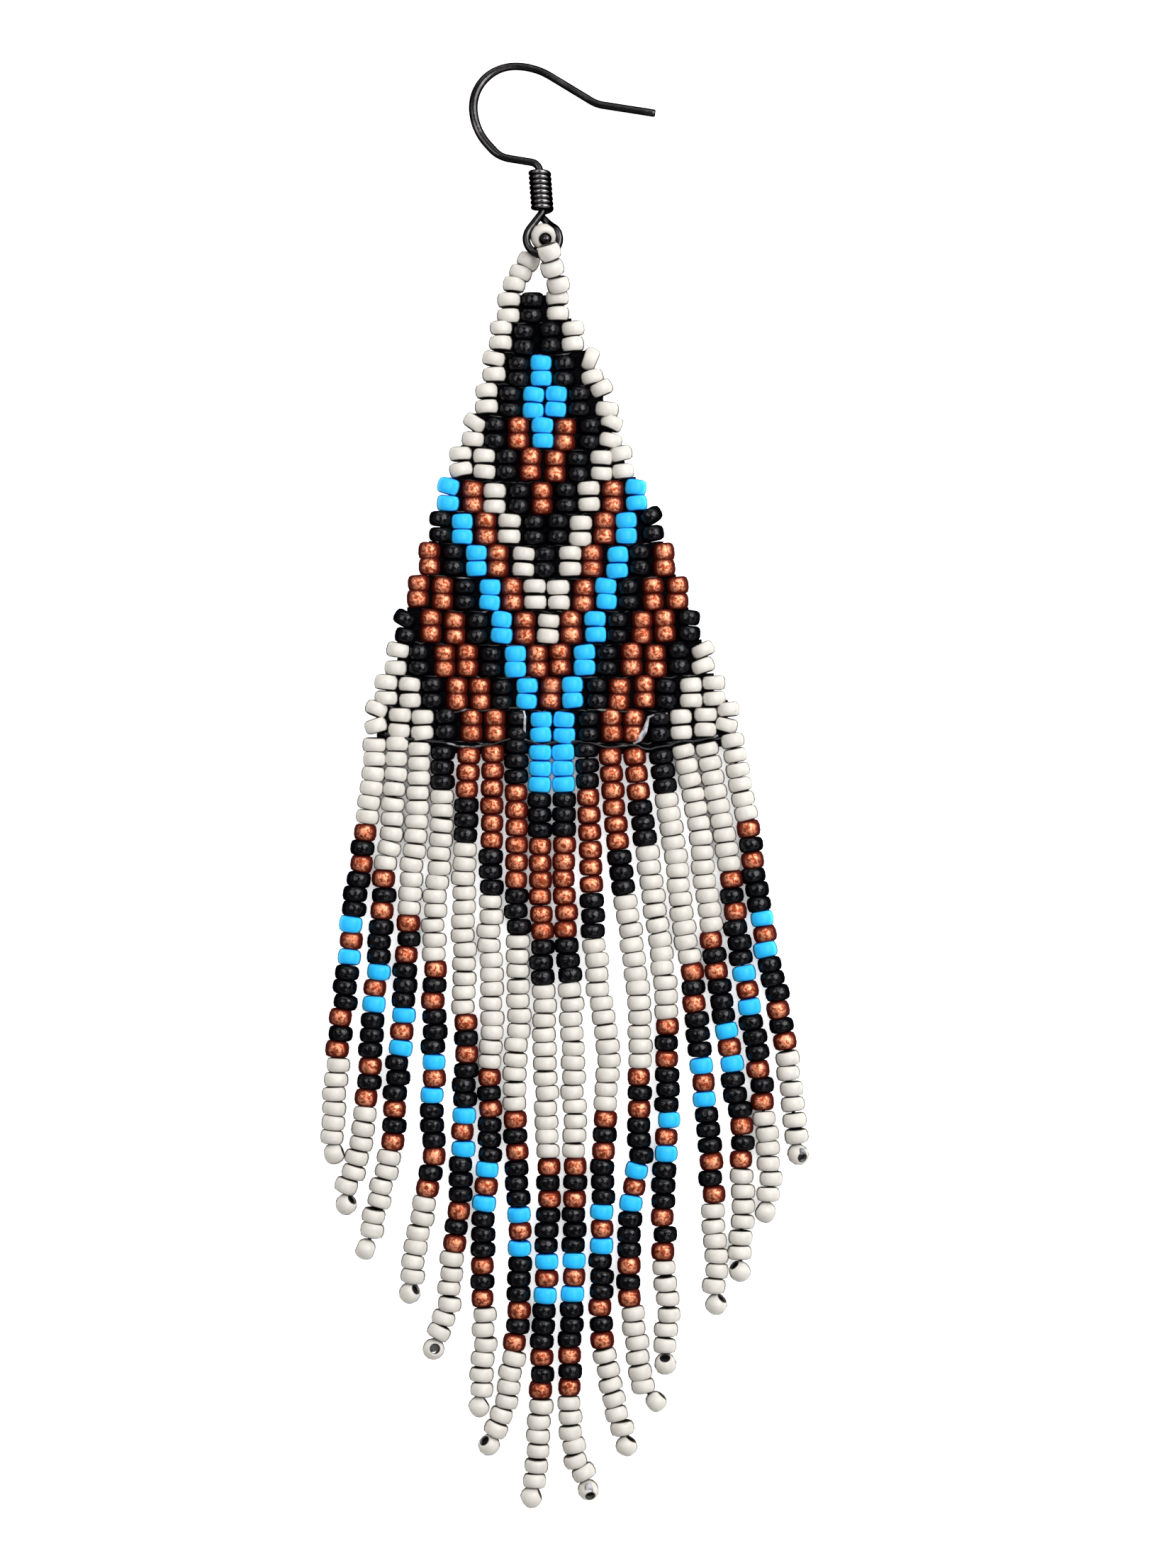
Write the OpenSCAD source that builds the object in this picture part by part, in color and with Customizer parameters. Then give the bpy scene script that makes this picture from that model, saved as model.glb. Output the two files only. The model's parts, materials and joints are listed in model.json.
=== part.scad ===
// Beaded fringe earring, lying flat on its back: a bent ear wire with a wound coil and a ring,
// a loop of seed beads through the ring, a triangular woven panel and a fringe of bead strings.
// Millimetres. +X to the right, +Y towards the ear wire, +Z up; the floor is at z = 0.

/* [Seed beads] */
// Outer diameter of a seed bead
bead_d = 2.06; // [1.9:0.02:2.14]
// Length of a seed bead along its thread
bead_len = 1.38; // [1.3:0.02:1.4]
// Bevel that stands for a seed bead's rounded ends
bead_bevel = 0.3; // [0.1:0.05:0.4]
// Diameter of the thread, doubled inside the beads
thread_d = 0.4; // [0.3:0.05:0.6]

/* [Woven panel] */
// Distance between the columns of one row
column_pitch = 2.2; // [2.18:0.01:2.24]
// Thickness of the stitched core that joins the columns
core_t = 0.9; // [0.5:0.1:1.4]
// How far the ends of an ordinary row curl up the panel
row_curl = 0.3; // [0:0.05:0.4]
// How far the ends of the last row curl up the panel
last_row_curl = 0.8; // [0:0.05:0.8]

/* [Fringe] */
// Distance across the flats of a bead string's tube
string_w = 2.0; // [1.7:0.05:2.05]
// Width of the turned stop bead, as a share of the string's width
stop_share = 0.7; // [0.6:0.05:0.95]
// Gap between the panel and the top of each string
string_gap = 0.1; // [0.05:0.05:0.3]

/* [Ear wire] */
// Diameter of the ear wire
wire_d = 0.72; // [0.6:0.02:0.8]
// How much thicker the wire is where a straight run meets a bend
joint_swell = 0.02; // [0.02:0.01:0.04]
// Length of the collar at such a joint
joint_len = 0.16; // [0.1:0.02:0.16]
// Bevel on the wire's cut tip
tip_bevel = 0.1; // [0.05:0.05:0.2]
// Height of the ring's centre above the floor
ring_z = 2.2; // [2.1:0.05:2.4]

/* [Coil] */
// Outer diameter of the coil
coil_d = 2.17; // [2:0.05:2.3]
// Diameter of the wire that the coil is wound from
coil_wire_d = 0.46; // [0.4:0.02:0.5]
// Number of turns
coil_turns = 8; // [6:1:8]

/* [Hidden] */
$fn = 32;

// Moves the whole earring so that its box is centred over the origin
centring = [0.01, 0.17, 0];

// Ear wire, from its tip to its ring: columns are the straight run, then the bend after it
// (degrees, left is positive) and that bend's radius
RUN = 0;
BEND = 1;
RADIUS = 2;
WIRE_STEPS = [
    [5.0, -23, 3.0],
    [4.5, 31.5, 6.2],
    [0, 90, 4.0],
    [0, 42, 5.2],
    [0.4, 39, 2.6],
    [2.35, -77, 0.9],
    [3.65, -41, 0.6],
    [1.8, 262, 1.56],
    [0.9, 0, 1]
];
tip_at = [8.62, 63.15];
tip_heading = 171.5;
STEM_STEP = 6;
RING_STEP = 7;
// Direction of the line through the hook's two low points, how far the ring's centre is from it,
// and the lean that brings those points down to the floor
lean_line = -20;
lean_reach = 14.75;
lean = asin((ring_z - (wire_d + joint_swell) / 2) / lean_reach);

// Height of a bead string's middle, lying on the floor
bead_z = bead_d / 2;
string_z = string_w / 2;
unit_len = 2 * bead_len;

// Beads of the loop, in thread order: centre, then the axis as azimuth and elevation
CENTRE = 0;
AZIMUTH = 1;
ELEVATION = 2;
LOOP_BEADS = [
    [[-4.7, 47.0, 1.03], 85, 0],
    [[-4.1, 48.3, 1.03], 68, 0],
    [[-3.4, 49.45, 1.03], 62, 0],
    [[-2.02, 51.35, 2.15], -31, 78],
    [[-1.35, 50.05, 3.88], -74, -10],
    [[-1.15, 48.45, 2.45], -78, -35],
    [[-0.55, 47.1, 1.2], -88, -8]
];

// Rows of the woven panel from the top: the row's centre. Each row has one column more than the last
ROWS = [
    [-2.95, 44.75],
    [-2.6, 41.75],
    [-2.2, 38.75],
    [-1.85, 35.75],
    [-2.05, 32.8],
    [-2.05, 29.8],
    [-2.05, 26.8],
    [-1.8, 23.8],
    [-1.7, 20.75],
    [-1.55, 17.65],
    [-1.55, 14.55],
    [-1.4, 11.5],
    [-1.35, 8.4],
    [-1.1, 5.35]
];
FIRST_ROW_COLUMNS = 3;
// How far the stitched core reaches below the middle of a row
core_drop = 0.4;

// Routes of the fringe strings, from the first bead's centre to the last straight bead's,
// then the stop bead's centre
STRING_ROUTES = [
    [[-17.8, 3.6], [-17.9, 0.9], [-18.3, -1.5], [-18.7, -4.7], [-19.2, -8.0], [-19.8, -12.0],
     [-20.2, -15.7], [-20.6, -20.0], [-21.1, -23.5], [-21.4, -27.7], [-21.6, -31.0],
     [-21.9, -33.2], [-21.9, -34.7]],
    [[-15.7, 3.7], [-15.8, 0.9], [-16.1, -2.0], [-16.2, -4.7], [-16.8, -8.0], [-17.1, -13.0],
     [-17.5, -17.5], [-17.9, -22.3], [-18.2, -26.5], [-18.7, -31.0], [-19.2, -33.9],
     [-19.9, -36.5], [-20.4, -37.8], [-20.5, -39.5]],
    [[-13.6, 3.2], [-13.7, 0.0], [-14.0, -5.0], [-14.5, -10.0], [-14.8, -16.2], [-15.2, -21.9],
     [-15.7, -27.0], [-16.1, -33.5], [-16.7, -36.4], [-17.5, -39.2], [-18.0, -42.0],
     [-18.7, -43.7]],
    [[-11.4, 2.9], [-11.5, -2.6], [-11.8, -7.9], [-12.2, -11.5], [-12.2, -19.0], [-12.3, -25.5],
     [-12.4, -30.5], [-12.4, -35.5], [-12.8, -38.1], [-13.3, -40.3], [-13.8, -43.0],
     [-14.3, -46.3], [-14.5, -47.8]],
    [[-9.0, 2.6], [-9.2, -2.6], [-9.4, -8.0], [-9.4, -15.5], [-9.5, -19.0], [-9.3, -24.0],
     [-9.4, -30.0], [-9.7, -35.7], [-9.9, -40.5], [-10.3, -43.2], [-10.7, -47.5],
     [-11.2, -50.3], [-11.8, -51.5], [-12.3, -53.1]],
    [[-6.7, 2.8], [-6.8, -3.0], [-6.9, -10.0], [-7.0, -16.0], [-6.8, -21.8], [-7.1, -27.5],
     [-6.9, -32.0], [-7.3, -37.5], [-7.7, -43.5], [-7.6, -48.3], [-7.5, -51.5],
     [-7.6, -54.3], [-7.8, -56.9], [-8.0, -58.5]],
    [[-4.5, 3.5], [-4.5, -2.5], [-4.5, -9.0], [-4.3, -16.3], [-4.3, -22.5], [-4.7, -29.0],
     [-4.5, -35.0], [-4.2, -42.1], [-4.3, -48.0], [-4.6, -53.0], [-5.2, -56.0],
     [-5.6, -58.3], [-6.5, -60.6], [-7.1, -62.1]],
    [[-2.3, 2.9], [-2.3, -2.7], [-2.3, -8.9], [-2.1, -15.4], [-1.8, -22.0], [-1.7, -29.3],
     [-1.5, -36.0], [-1.6, -42.5], [-1.8, -49.0], [-2.1, -53.9], [-2.3, -60.0],
     [-2.5, -62.7], [-2.7, -65.5], [-3.1, -67.0]],
    [[-0.1, 2.9], [0.0, -2.9], [0.0, -8.9], [0.3, -15.1], [0.7, -21.8], [0.8, -27.6],
     [1.0, -33.3], [1.0, -39.0], [0.8, -45.5], [0.6, -51.0], [0.5, -58.1], [0.6, -60.9],
     [1.1, -63.4], [1.7, -64.8], [2.3, -66.3]],
    [[2.1, 3.1], [2.3, -2.8], [2.5, -9.3], [2.8, -14.6], [3.4, -20.5], [4.1, -26.5],
     [3.9, -31.5], [3.6, -38.0], [3.5, -45.0], [3.3, -49.9], [3.6, -53.0], [4.2, -56.0],
     [4.9, -58.5], [5.3, -60.6], [5.9, -62.2]],
    [[4.3, 2.5], [4.7, -2.5], [5.3, -8.0], [6.2, -13.3], [6.9, -19.1], [7.1, -24.0],
     [7.1, -29.0], [7.1, -34.9], [6.4, -39.3], [6.1, -45.3], [6.2, -48.5], [6.7, -52.5],
     [7.5, -56.6], [8.7, -58.0]],
    [[6.6, 2.5], [7.1, -2.0], [7.8, -6.5], [8.5, -11.9], [9.3, -17.0], [9.7, -22.1],
     [9.7, -28.1], [9.7, -33.0], [9.4, -38.5], [9.4, -44.0], [9.7, -49.8], [9.6, -52.8],
     [9.5, -54.5]],
    [[9.1, 2.5], [9.7, -2.2], [10.6, -7.5], [11.1, -12.5], [11.8, -17.0], [12.4, -22.0],
     [13.1, -27.5], [13.5, -33.0], [13.9, -38.0], [14.2, -42.3], [14.3, -45.0],
     [14.1, -47.2], [14.3, -48.9]],
    [[11.2, 3.0], [12.0, -0.6], [12.8, -5.0], [13.3, -9.7], [13.9, -14.5], [14.6, -19.0],
     [15.4, -24.2], [16.1, -28.6], [16.6, -33.0], [16.7, -38.1], [16.6, -44.1],
     [16.5, -45.8]],
    [[13.4, 3.2], [14.2, -0.8], [15.0, -4.8], [15.6, -8.9], [16.2, -13.7], [16.9, -18.0],
     [17.6, -22.8], [18.3, -27.0], [18.8, -31.6], [19.2, -35.0], [19.3, -38.6],
     [18.9, -40.2]],
    [[15.8, 4.0], [16.5, 0.0], [17.2, -3.7], [17.7, -7.5], [18.4, -12.3], [19.2, -16.7],
     [20.1, -20.6], [20.8, -24.3], [21.3, -29.0], [21.8, -33.1], [22.0, -34.8]]
];
TUBE_SIDES = 8;
STOP_BEAD_REACH = bead_d / 2;

function last(list) = list[len(list) - 1];

// Where the wire has got to after the first n steps: x, y and heading
function wire_place(n) =
    n == 0 ? [tip_at.x, tip_at.y, tip_heading] : after_step(wire_place(n - 1), WIRE_STEPS[n - 1]);

function after_step(place, step) =
    let (
        centre = bend_centre(place, step),
        side = sign(step[BEND]) * step[RADIUS],
        heading = place[2] + step[BEND]
    )
    [centre.x + side * sin(heading), centre.y - side * cos(heading), heading];

// Centre of a step's bend, to the left of the wire when the bend is positive
function bend_centre(place, step) =
    let (side = sign(step[BEND]) * step[RADIUS])
    [
        place.x + step[RUN] * cos(place[2]) - side * sin(place[2]),
        place.y + step[RUN] * sin(place[2]) + side * cos(place[2])
    ];

ring_at = bend_centre(wire_place(RING_STEP), WIRE_STEPS[RING_STEP]);

// Height that a column at share u of its row, -1 to 1, rises above the row's centre;
// the first row is straight
function curl(row, u) =
    (row == 0 ? 0 : row == len(ROWS) - 1 ? last_row_curl : row_curl) * pow(u, 4);

function columns(row) = FIRST_ROW_COLUMNS + row;

// Centre of column k of a row
function unit_at(row, k) =
    let (half = (columns(row) - 1) / 2, u = (k - half) / half)
    [ROWS[row].x + (k - half) * column_pitch, ROWS[row].y + curl(row, u)];

// One straight run of wire and the bend after it, drawn from the origin along +X
module wire_step(step) {
    turn = step[BEND];
    r = step[RADIUS];
    if (step[RUN] > 0) rotate([0, 90, 0]) cylinder(d = wire_d, h = step[RUN]);
    if (turn != 0)
        translate([step[RUN], sign(turn) * r, 0])
            rotate([0, 0, turn > 0 ? -90 : 90 + turn])
                rotate_extrude(angle = abs(turn)) translate([r, 0]) circle(d = wire_d);
}

// The collar that joins two stretches of the wire
module joint_collar() {
    rotate([0, 90, 0]) cylinder(d = wire_d + joint_swell, h = joint_len, center = true);
}

// Leans the flat hook about its ring, so that its far side comes down to the floor
module leaned() {
    translate([ring_at.x, ring_at.y, ring_z])
        rotate([0, 0, lean_line])
            rotate([-lean, 0, 0])
                rotate([0, 0, -lean_line])
                    translate([-ring_at.x, -ring_at.y, 0]) children();
}

// Puts a child at the wire's place after n steps, heading along the wire
module on_wire(n) {
    place = wire_place(n);
    translate([place.x, place.y, 0]) rotate([0, 0, place[2]]) children();
}

module ear_hook() {
    color("#3b3a3a")
        translate(centring) leaned() {
            difference() {
                union() {
                    for (n = [0 : len(WIRE_STEPS) - 1]) on_wire(n) {
                        step = WIRE_STEPS[n];
                        wire_step(step);
                        if (n > 0) joint_collar();
                        if (step[RUN] > 0 && step[BEND] != 0) translate([step[RUN], 0, 0]) joint_collar();
                    }
                }
                on_wire(0) tip_cutter();
            }
        }
}

// What the bevel takes off the cut tip
module tip_cutter() {
    outside = wire_d;
    rotate([0, 90, 0]) rotate_extrude()
        polygon([
            [wire_d / 2 - tip_bevel, -tip_bevel],
            [wire_d / 2 - tip_bevel, 0],
            [wire_d / 2, tip_bevel],
            [outside, tip_bevel],
            [outside, -tip_bevel]
        ]);
}

// Closed turns round the stem, as one tube with ribs
module hook_coil() {
    length = coil_turns * coil_wire_d;
    mid_r = (coil_d - coil_wire_d) / 2;
    color("#2b2b2c")
        translate(centring) leaned() on_wire(STEM_STEP)
            translate([(WIRE_STEPS[STEM_STEP][RUN] - length) / 2, 0, 0]) rotate([0, 90, 0])
                rotate_extrude() {
                    translate([mid_r - coil_wire_d / 2, 0]) square([coil_wire_d / 2, length]);
                    for (k = [0 : coil_turns - 1])
                        translate([mid_r, (k + 0.5) * coil_wire_d]) circle(d = coil_wire_d);
                }
}

// One bead with bevelled ends, its axis along +Z and its middle at the origin
module bead(length = bead_len) {
    r = bead_d / 2;
    rotate_extrude()
        polygon([
            [0, -length / 2],
            [r - bead_bevel, -length / 2],
            [r, bead_bevel - length / 2],
            [r, length / 2 - bead_bevel],
            [r - bead_bevel, length / 2],
            [0, length / 2]
        ]);
}

function axis_of(b) =
    [cos(b[ELEVATION]) * cos(b[AZIMUTH]), cos(b[ELEVATION]) * sin(b[AZIMUTH]), sin(b[ELEVATION])];

// A round rod from one point to another
module rod(from, to, d) {
    run = to - from;
    length = norm(run);
    translate(from) rotate([0, acos(run.z / length), atan2(run.y, run.x)]) cylinder(d = d, h = length);
}

module bead_loop() {
    color("ivory")
        translate(centring) {
            for (b = LOOP_BEADS)
                translate(b[CENTRE]) rotate([0, 90 - b[ELEVATION], b[AZIMUTH]]) bead();
            for (i = [1 : len(LOOP_BEADS) - 1])
                thread_between(LOOP_BEADS[i - 1], LOOP_BEADS[i]);
        }
}

// The thread from one bead's hole to the next one's
module thread_between(a, b) {
    inside = bead_len / 2 - bead_bevel;
    rod(a[CENTRE] + inside * axis_of(a), b[CENTRE] - inside * axis_of(b), thread_d);
}

module woven_panel() {
    color("#26221f")
        translate(centring) {
            for (row = [0 : len(ROWS) - 1], k = [0 : columns(row) - 1]) {
                at = unit_at(row, k);
                translate([at.x, at.y, bead_z]) rotate([90, 0, 0]) bead(unit_len);
            }
            translate([0, 0, bead_z - core_t / 2]) linear_extrude(core_t) core_outline();
        }
}

// Outline of the stitched core: each row reaches up to the row above it
module core_outline() {
    for (row = [0 : len(ROWS) - 1]) {
        left = unit_at(row, 0).x;
        right = unit_at(row, columns(row) - 1).x;
        bottom = ROWS[row].y - core_drop;
        top = row == 0 ? ROWS[row].y + unit_len / 4 : ROWS[row - 1].y;
        inset = row == 0 ? 0 : column_pitch / 2;
        translate([left, bottom]) square([right - left, unit_len / 2]);
        translate([left + inset, bottom]) square([right - left - 2 * inset, top - bottom]);
    }
}

// Heading of a route at point i, along the line through its neighbours
function heading_at(route, i) =
    let (a = route[max(i - 1, 0)], b = route[min(i + 1, len(route) - 1)])
    atan2(b.y - a.y, b.x - a.x);

// A route's stations: x, y and share of the full width. The string starts under its panel column,
// and its last stations are the turned stop bead
function stations(index, route) =
    let (
        row = len(ROWS) - 1,
        under_panel = unit_at(row, index).y - unit_len / 2 - string_gap,
        start = [route[0].x, min(route[0].y + bead_len / 2, under_panel), 1],
        beads = [for (i = [1 : len(route) - 2]) [route[i].x, route[i].y, 1]],
        stop = last(route),
        before = route[len(route) - 2],
        along = (stop - before) / norm(stop - before),
        shoulder = before + along * bead_len / 2,
        tail = stop + along * STOP_BEAD_REACH
    )
    concat(
        [start],
        beads,
        [[shoulder.x, shoulder.y, 1]],
        [[shoulder.x + along.x * bead_bevel, shoulder.y + along.y * bead_bevel, stop_share]],
        [[tail.x, tail.y, stop_share]]
    );

// Ring of points round one station, flat side down
function station_ring(route, i) =
    let (heading = heading_at(route, i), r = string_z / cos(180 / TUBE_SIDES))
    [
        for (k = [0 : TUBE_SIDES - 1])
            let (
                turn = 360 * (k + 0.5) / TUBE_SIDES,
                across = r * cos(turn) * route[i][2]
            )
            [
                route[i].x - across * sin(heading),
                route[i].y + across * cos(heading),
                string_z + r * sin(turn)
            ]
    ];

// A bead string as one tube swept through its stations
module bead_string(index) {
    route = stations(index, STRING_ROUTES[index]);
    rings = len(route);
    points = [for (i = [0 : rings - 1]) each station_ring(route, i)];
    sides = [
        for (i = [0 : rings - 2], k = [0 : TUBE_SIDES - 1])
            let (next = (k + 1) % TUBE_SIDES, a = i * TUBE_SIDES, b = a + TUBE_SIDES)
            [a + k, a + next, b + next, b + k]
    ];
    first_end = [for (k = [0 : TUBE_SIDES - 1]) TUBE_SIDES - 1 - k];
    last_end = [for (k = [0 : TUBE_SIDES - 1]) (rings - 1) * TUBE_SIDES + k];
    color("#e4dfd6")
        translate(centring)
            polyhedron(points = points, faces = concat(sides, [first_end], [last_end]));
}

ear_hook();
hook_coil();
bead_loop();
woven_panel();
bead_string(0);  // strand_01
bead_string(1);  // strand_02
bead_string(2);  // strand_03
bead_string(3);  // strand_04
bead_string(4);  // strand_05
bead_string(5);  // strand_06
bead_string(6);  // strand_07
bead_string(7);  // strand_08
bead_string(8);  // strand_09
bead_string(9);  // strand_10
bead_string(10);  // strand_11
bead_string(11);  // strand_12
bead_string(12);  // strand_13
bead_string(13);  // strand_14
bead_string(14);  // strand_15
bead_string(15);  // strand_16
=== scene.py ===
"""Dresses the beaded fringe earring: seed beads, thread, ear wire and coil, lying on a pale floor."""

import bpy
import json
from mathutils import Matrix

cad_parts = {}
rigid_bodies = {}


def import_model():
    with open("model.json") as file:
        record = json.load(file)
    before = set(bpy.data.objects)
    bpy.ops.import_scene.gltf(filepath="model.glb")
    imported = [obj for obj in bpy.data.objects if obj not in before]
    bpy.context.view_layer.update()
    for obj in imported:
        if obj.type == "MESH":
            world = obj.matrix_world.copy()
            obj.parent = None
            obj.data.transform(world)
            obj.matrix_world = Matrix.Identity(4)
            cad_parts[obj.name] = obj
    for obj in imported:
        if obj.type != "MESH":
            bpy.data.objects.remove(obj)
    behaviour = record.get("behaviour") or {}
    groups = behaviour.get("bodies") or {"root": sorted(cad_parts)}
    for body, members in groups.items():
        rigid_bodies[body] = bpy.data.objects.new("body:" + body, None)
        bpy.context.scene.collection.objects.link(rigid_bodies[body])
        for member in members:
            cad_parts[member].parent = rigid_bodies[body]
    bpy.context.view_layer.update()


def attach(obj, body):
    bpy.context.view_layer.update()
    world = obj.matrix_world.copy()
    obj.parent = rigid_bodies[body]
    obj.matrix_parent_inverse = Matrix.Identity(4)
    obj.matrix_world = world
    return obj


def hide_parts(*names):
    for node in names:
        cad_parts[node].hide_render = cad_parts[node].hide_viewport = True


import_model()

import json
import math
import random

import bpy
from bpy.props import FloatProperty, FloatVectorProperty, IntProperty, PointerProperty
from mathutils import Matrix, Vector

bl_info = {
    "name": "Beaded Fringe Earring",
    "version": (1, 0, 0),
    "blender": (4, 5, 0),
    "location": "View3D > Sidebar > Earring",
    "description": "Seed beads, thread, ear wire and coil of a beaded fringe earring",
    "category": "Add Mesh",
}

MM = 0.001
UP = Vector((0, 0, 1))

# The whole earring is moved by this, in millimetres, so that its box is centred over the origin
CENTRING = Vector((0.01, 0.17, 0))

# Kinds of bead, by letter: white, black, copper, blue, and the white stop bead of a string
KINDS = "WKCBS"
SHAPES = "bead_shapes"

# The stripe that runs down the panel's edge, read from a string's first bead up and in
DIAGONAL = "WWWKCCKBCWKC"
# The left half of each row above the stripe, from the edge to the middle
CROWN_ROWS = ["WK", "WK", "WKB", "WKB", "WKCB", "WWKC"]
# The colours that every string repeats near its end
MOTIF = "CKCKKKBCBKKKCKC"
STRINGS = 16
# Beads in a string for each of the stripe's colours, and white beads after the motif
BEADS_PER_STRIPE = 3
TAIL_BEADS = 6
# The string that has one white bead more, counted from 0 at the left
LONGER_STRING = 13

# Rows of the woven panel from the top: the row's centre. Each row has one column more than the last
ROWS = [
    (-2.95, 44.75),
    (-2.6, 41.75),
    (-2.2, 38.75),
    (-1.85, 35.75),
    (-2.05, 32.8),
    (-2.05, 29.8),
    (-2.05, 26.8),
    (-1.8, 23.8),
    (-1.7, 20.75),
    (-1.55, 17.65),
    (-1.55, 14.55),
    (-1.4, 11.5),
    (-1.35, 8.4),
    (-1.1, 5.35),
]
FIRST_ROW_COLUMNS = 3
COLUMN_PITCH = 2.2
BEAD_PITCH = 1.47
# How far a row's ends rise above its middle, in millimetres
ROW_CURL = 0.3
LAST_ROW_CURL = 0.8
# How far a column strays sideways and along, in millimetres, and leans, in degrees
STRAY_ACROSS = 0.1
STRAY_ALONG = 0.13
COLUMN_LEAN = 4
# Widths of the panel's white beads and of its others, and how far they sway, against the ordinary
PANEL_WHITE_WIDTH = 0.98
PANEL_WIDTH = 0.95
PANEL_SWAY = 0.4

# Threads inside the panel, close enough to make a dark sheet that is partly the real thread and partly
# painted shade in the gaps between its beads, in millimetres: how thick and how far apart they are, and
# how many lie above and below a row's middle line
BACKING_THREAD = 0.4
BACKING_PITCH = 0.3
BACKING_ABOVE = 5
BACKING_BELOW = 5
FIRST_ROW_ABOVE = 3
LAST_ROW_BELOW = 8
# How far the backing and the garland stray from their lines
FINE_WAVINESS = 0.05
# A stitch under a row: how far under the row's edge and how high, at a column and between two
STITCH_AT_COLUMN = (0.02, 1.25)
STITCH_BETWEEN = (0.2, 1.45)
# Height of the threads inside lying beads, in millimetres
THREAD_Z = 1.03

# Beads of the panel's edges that lie askew: row from the top, column, and 0 for the upper bead or
# 1 for the lower; then the turn in degrees to the left and the shift in millimetres
ASKEW = {
    (2, 0, 0): (8, 0, 0),
    (2, -1, 0): (10, 0, 0),
    (2, -1, 1): (5, 0, 0),
    (3, 0, 0): (-15, 0, 0),
    (3, -1, 0): (70, 0.2, 0.1),
    (3, -1, 1): (15, 0.4, -0.2),
    (4, -1, 0): (25, -0.2, 0.3),
    (4, -1, 1): (-8, 0.3, -0.2),
    (5, 0, 0): (-35, 0.1, 0.1),
    (5, 0, 1): (-8, 0, 0),
    (5, -1, 0): (-20, 0, 0),
    (5, -1, 1): (-12, -0.1, -0.2),
    (6, 0, 1): (8, 0, 0),
    (6, -1, 0): (10, -0.3, 0.2),
    (7, 0, 0): (-15, 0, 0.1),
    (7, -1, 0): (-10, 0, 0),
    (8, -1, 0): (30, 0, 0.2),
    (8, -1, 1): (10, 0.2, 0),
    (11, 0, 0): (-30, -0.2, -0.1),
    (11, 0, 1): (-10, 0, -0.2),
    (12, 0, 0): (-8, 0, 0),
    (12, 0, 1): (0, -0.2, -0.2),
    (12, -1, 0): (25, 0, 0),
    (12, -1, 1): (15, 0.1, 0),
    (13, 0, 0): (-10, 0, 0),
    (14, 0, 0): (-18, 0, 0.1),
    (14, 0, 1): (15, 0, 0),
    (14, -1, 0): (12, 0, 0),
    (14, -1, 1): (-8, -0.2, 0),
}

# Thread that joins the strings under the panel, in two stretches, and lines that show higher up
GARLAND = [
    [(-16.8, 4.65), (-14.9, 4.2), (-13.7, 4.1), (-12.5, 3.9), (-11.2, 3.75), (-9.6, 3.4),
     (-8.2, 3.4), (-7.1, 3.6), (-5.2, 4.1), (-3.9, 4.2), (-3.2, 3.9), (-1.8, 3.6), (-0.75, 3.9),
     (0.65, 3.9), (2.7, 3.75), (3.6, 3.4), (4.5, 3.4), (5.8, 3.55), (6.8, 3.55), (7.8, 3.15),
     (8.8, 3.4), (9.8, 3.55), (10.9, 3.9), (12.0, 3.95), (13.2, 4.1), (14.4, 4.45)],
    [(-12.0, 6.8), (-10.4, 6.6), (-9.0, 6.9), (-7.5, 6.8), (-5.0, 7.05), (-3.1, 7.0)],
    [(2.2, 6.9), (4.0, 6.9), (5.3, 6.7), (6.4, 6.6)],
]
GARLAND_Z = 1.75
GARLAND_THREAD = 0.24
# Loose flattened threads, two on the panel and two on stop beads: place and width along each
LOOSE_THREADS = [
    [(-3.8, 6.8, 2.0, 0.2), (-3.7, 6.2, 2.1, 0.3), (-3.7, 5.4, 2.1, 0.22), (-3.75, 4.8, 2.0, 0.3),
     (-3.95, 4.5, 1.9, 0.25)],
    [(6.5, 3.7, 1.8, 0.2), (7.0, 4.1, 2.0, 0.5), (7.5, 4.8, 2.1, 0.55), (7.75, 5.6, 2.1, 0.35),
     (7.9, 6.2, 2.1, 0.25), (8.4, 6.4, 2.05, 0.2), (9.7, 6.55, 1.9, 0.18)],
    [(2.25, -65.6, 2.0, 0.5), (2.3, -66.0, 2.05, 0.75), (2.35, -66.5, 1.95, 0.7)],
    [(22.3, -34.2, 1.95, 0.45), (22.35, -34.5, 2.05, 0.6), (22.4, -34.8, 2.0, 0.6)],
]

# Beads of the loop, in thread order: centre, the axis as azimuth and elevation, and length against
# the ordinary bead
LOOP_BEADS = [
    ((-4.7, 46.85, 1.07), 85, 0, 1),
    ((-4.1, 47.95, 1.07), 68, 0, 1),
    ((-3.38, 49.05, 1.07), 62, 0, 1.05),
    ((-1.97, 51.25, 2.0), -62, 60, 1.1),
    ((-1.36, 49.55, 3.65), -71, -14, 1.12),
    ((-1.11, 48.16, 2.85), -75, -14, 1.12),
    ((-0.55, 46.75, 1.95), -80, -14, 1.1),
]
# Where the loop's thread leaves the panel, and comes back to it
LOOP_ENDS = [(-5.15, 45.5), (-0.75, 45.5)]
# A bead of the loop raised more than this stands with its end in sight, and is a little wider
STANDING_ELEVATION = 30
STANDING_WIDTH = 1.06
LYING_WIDTH = 0.97
# The thread's knot in the hole of the bead inside the ring: its centre and radius, and the share of a
# half turn that its flat ends take
KNOT_AT = (-1.71, 50.93, 2.65)
KNOT_RADIUS = 0.56
KNOT_CAP = 0.04
KNOT_RINGS = 9
KNOT_SIDES = 14

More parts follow.
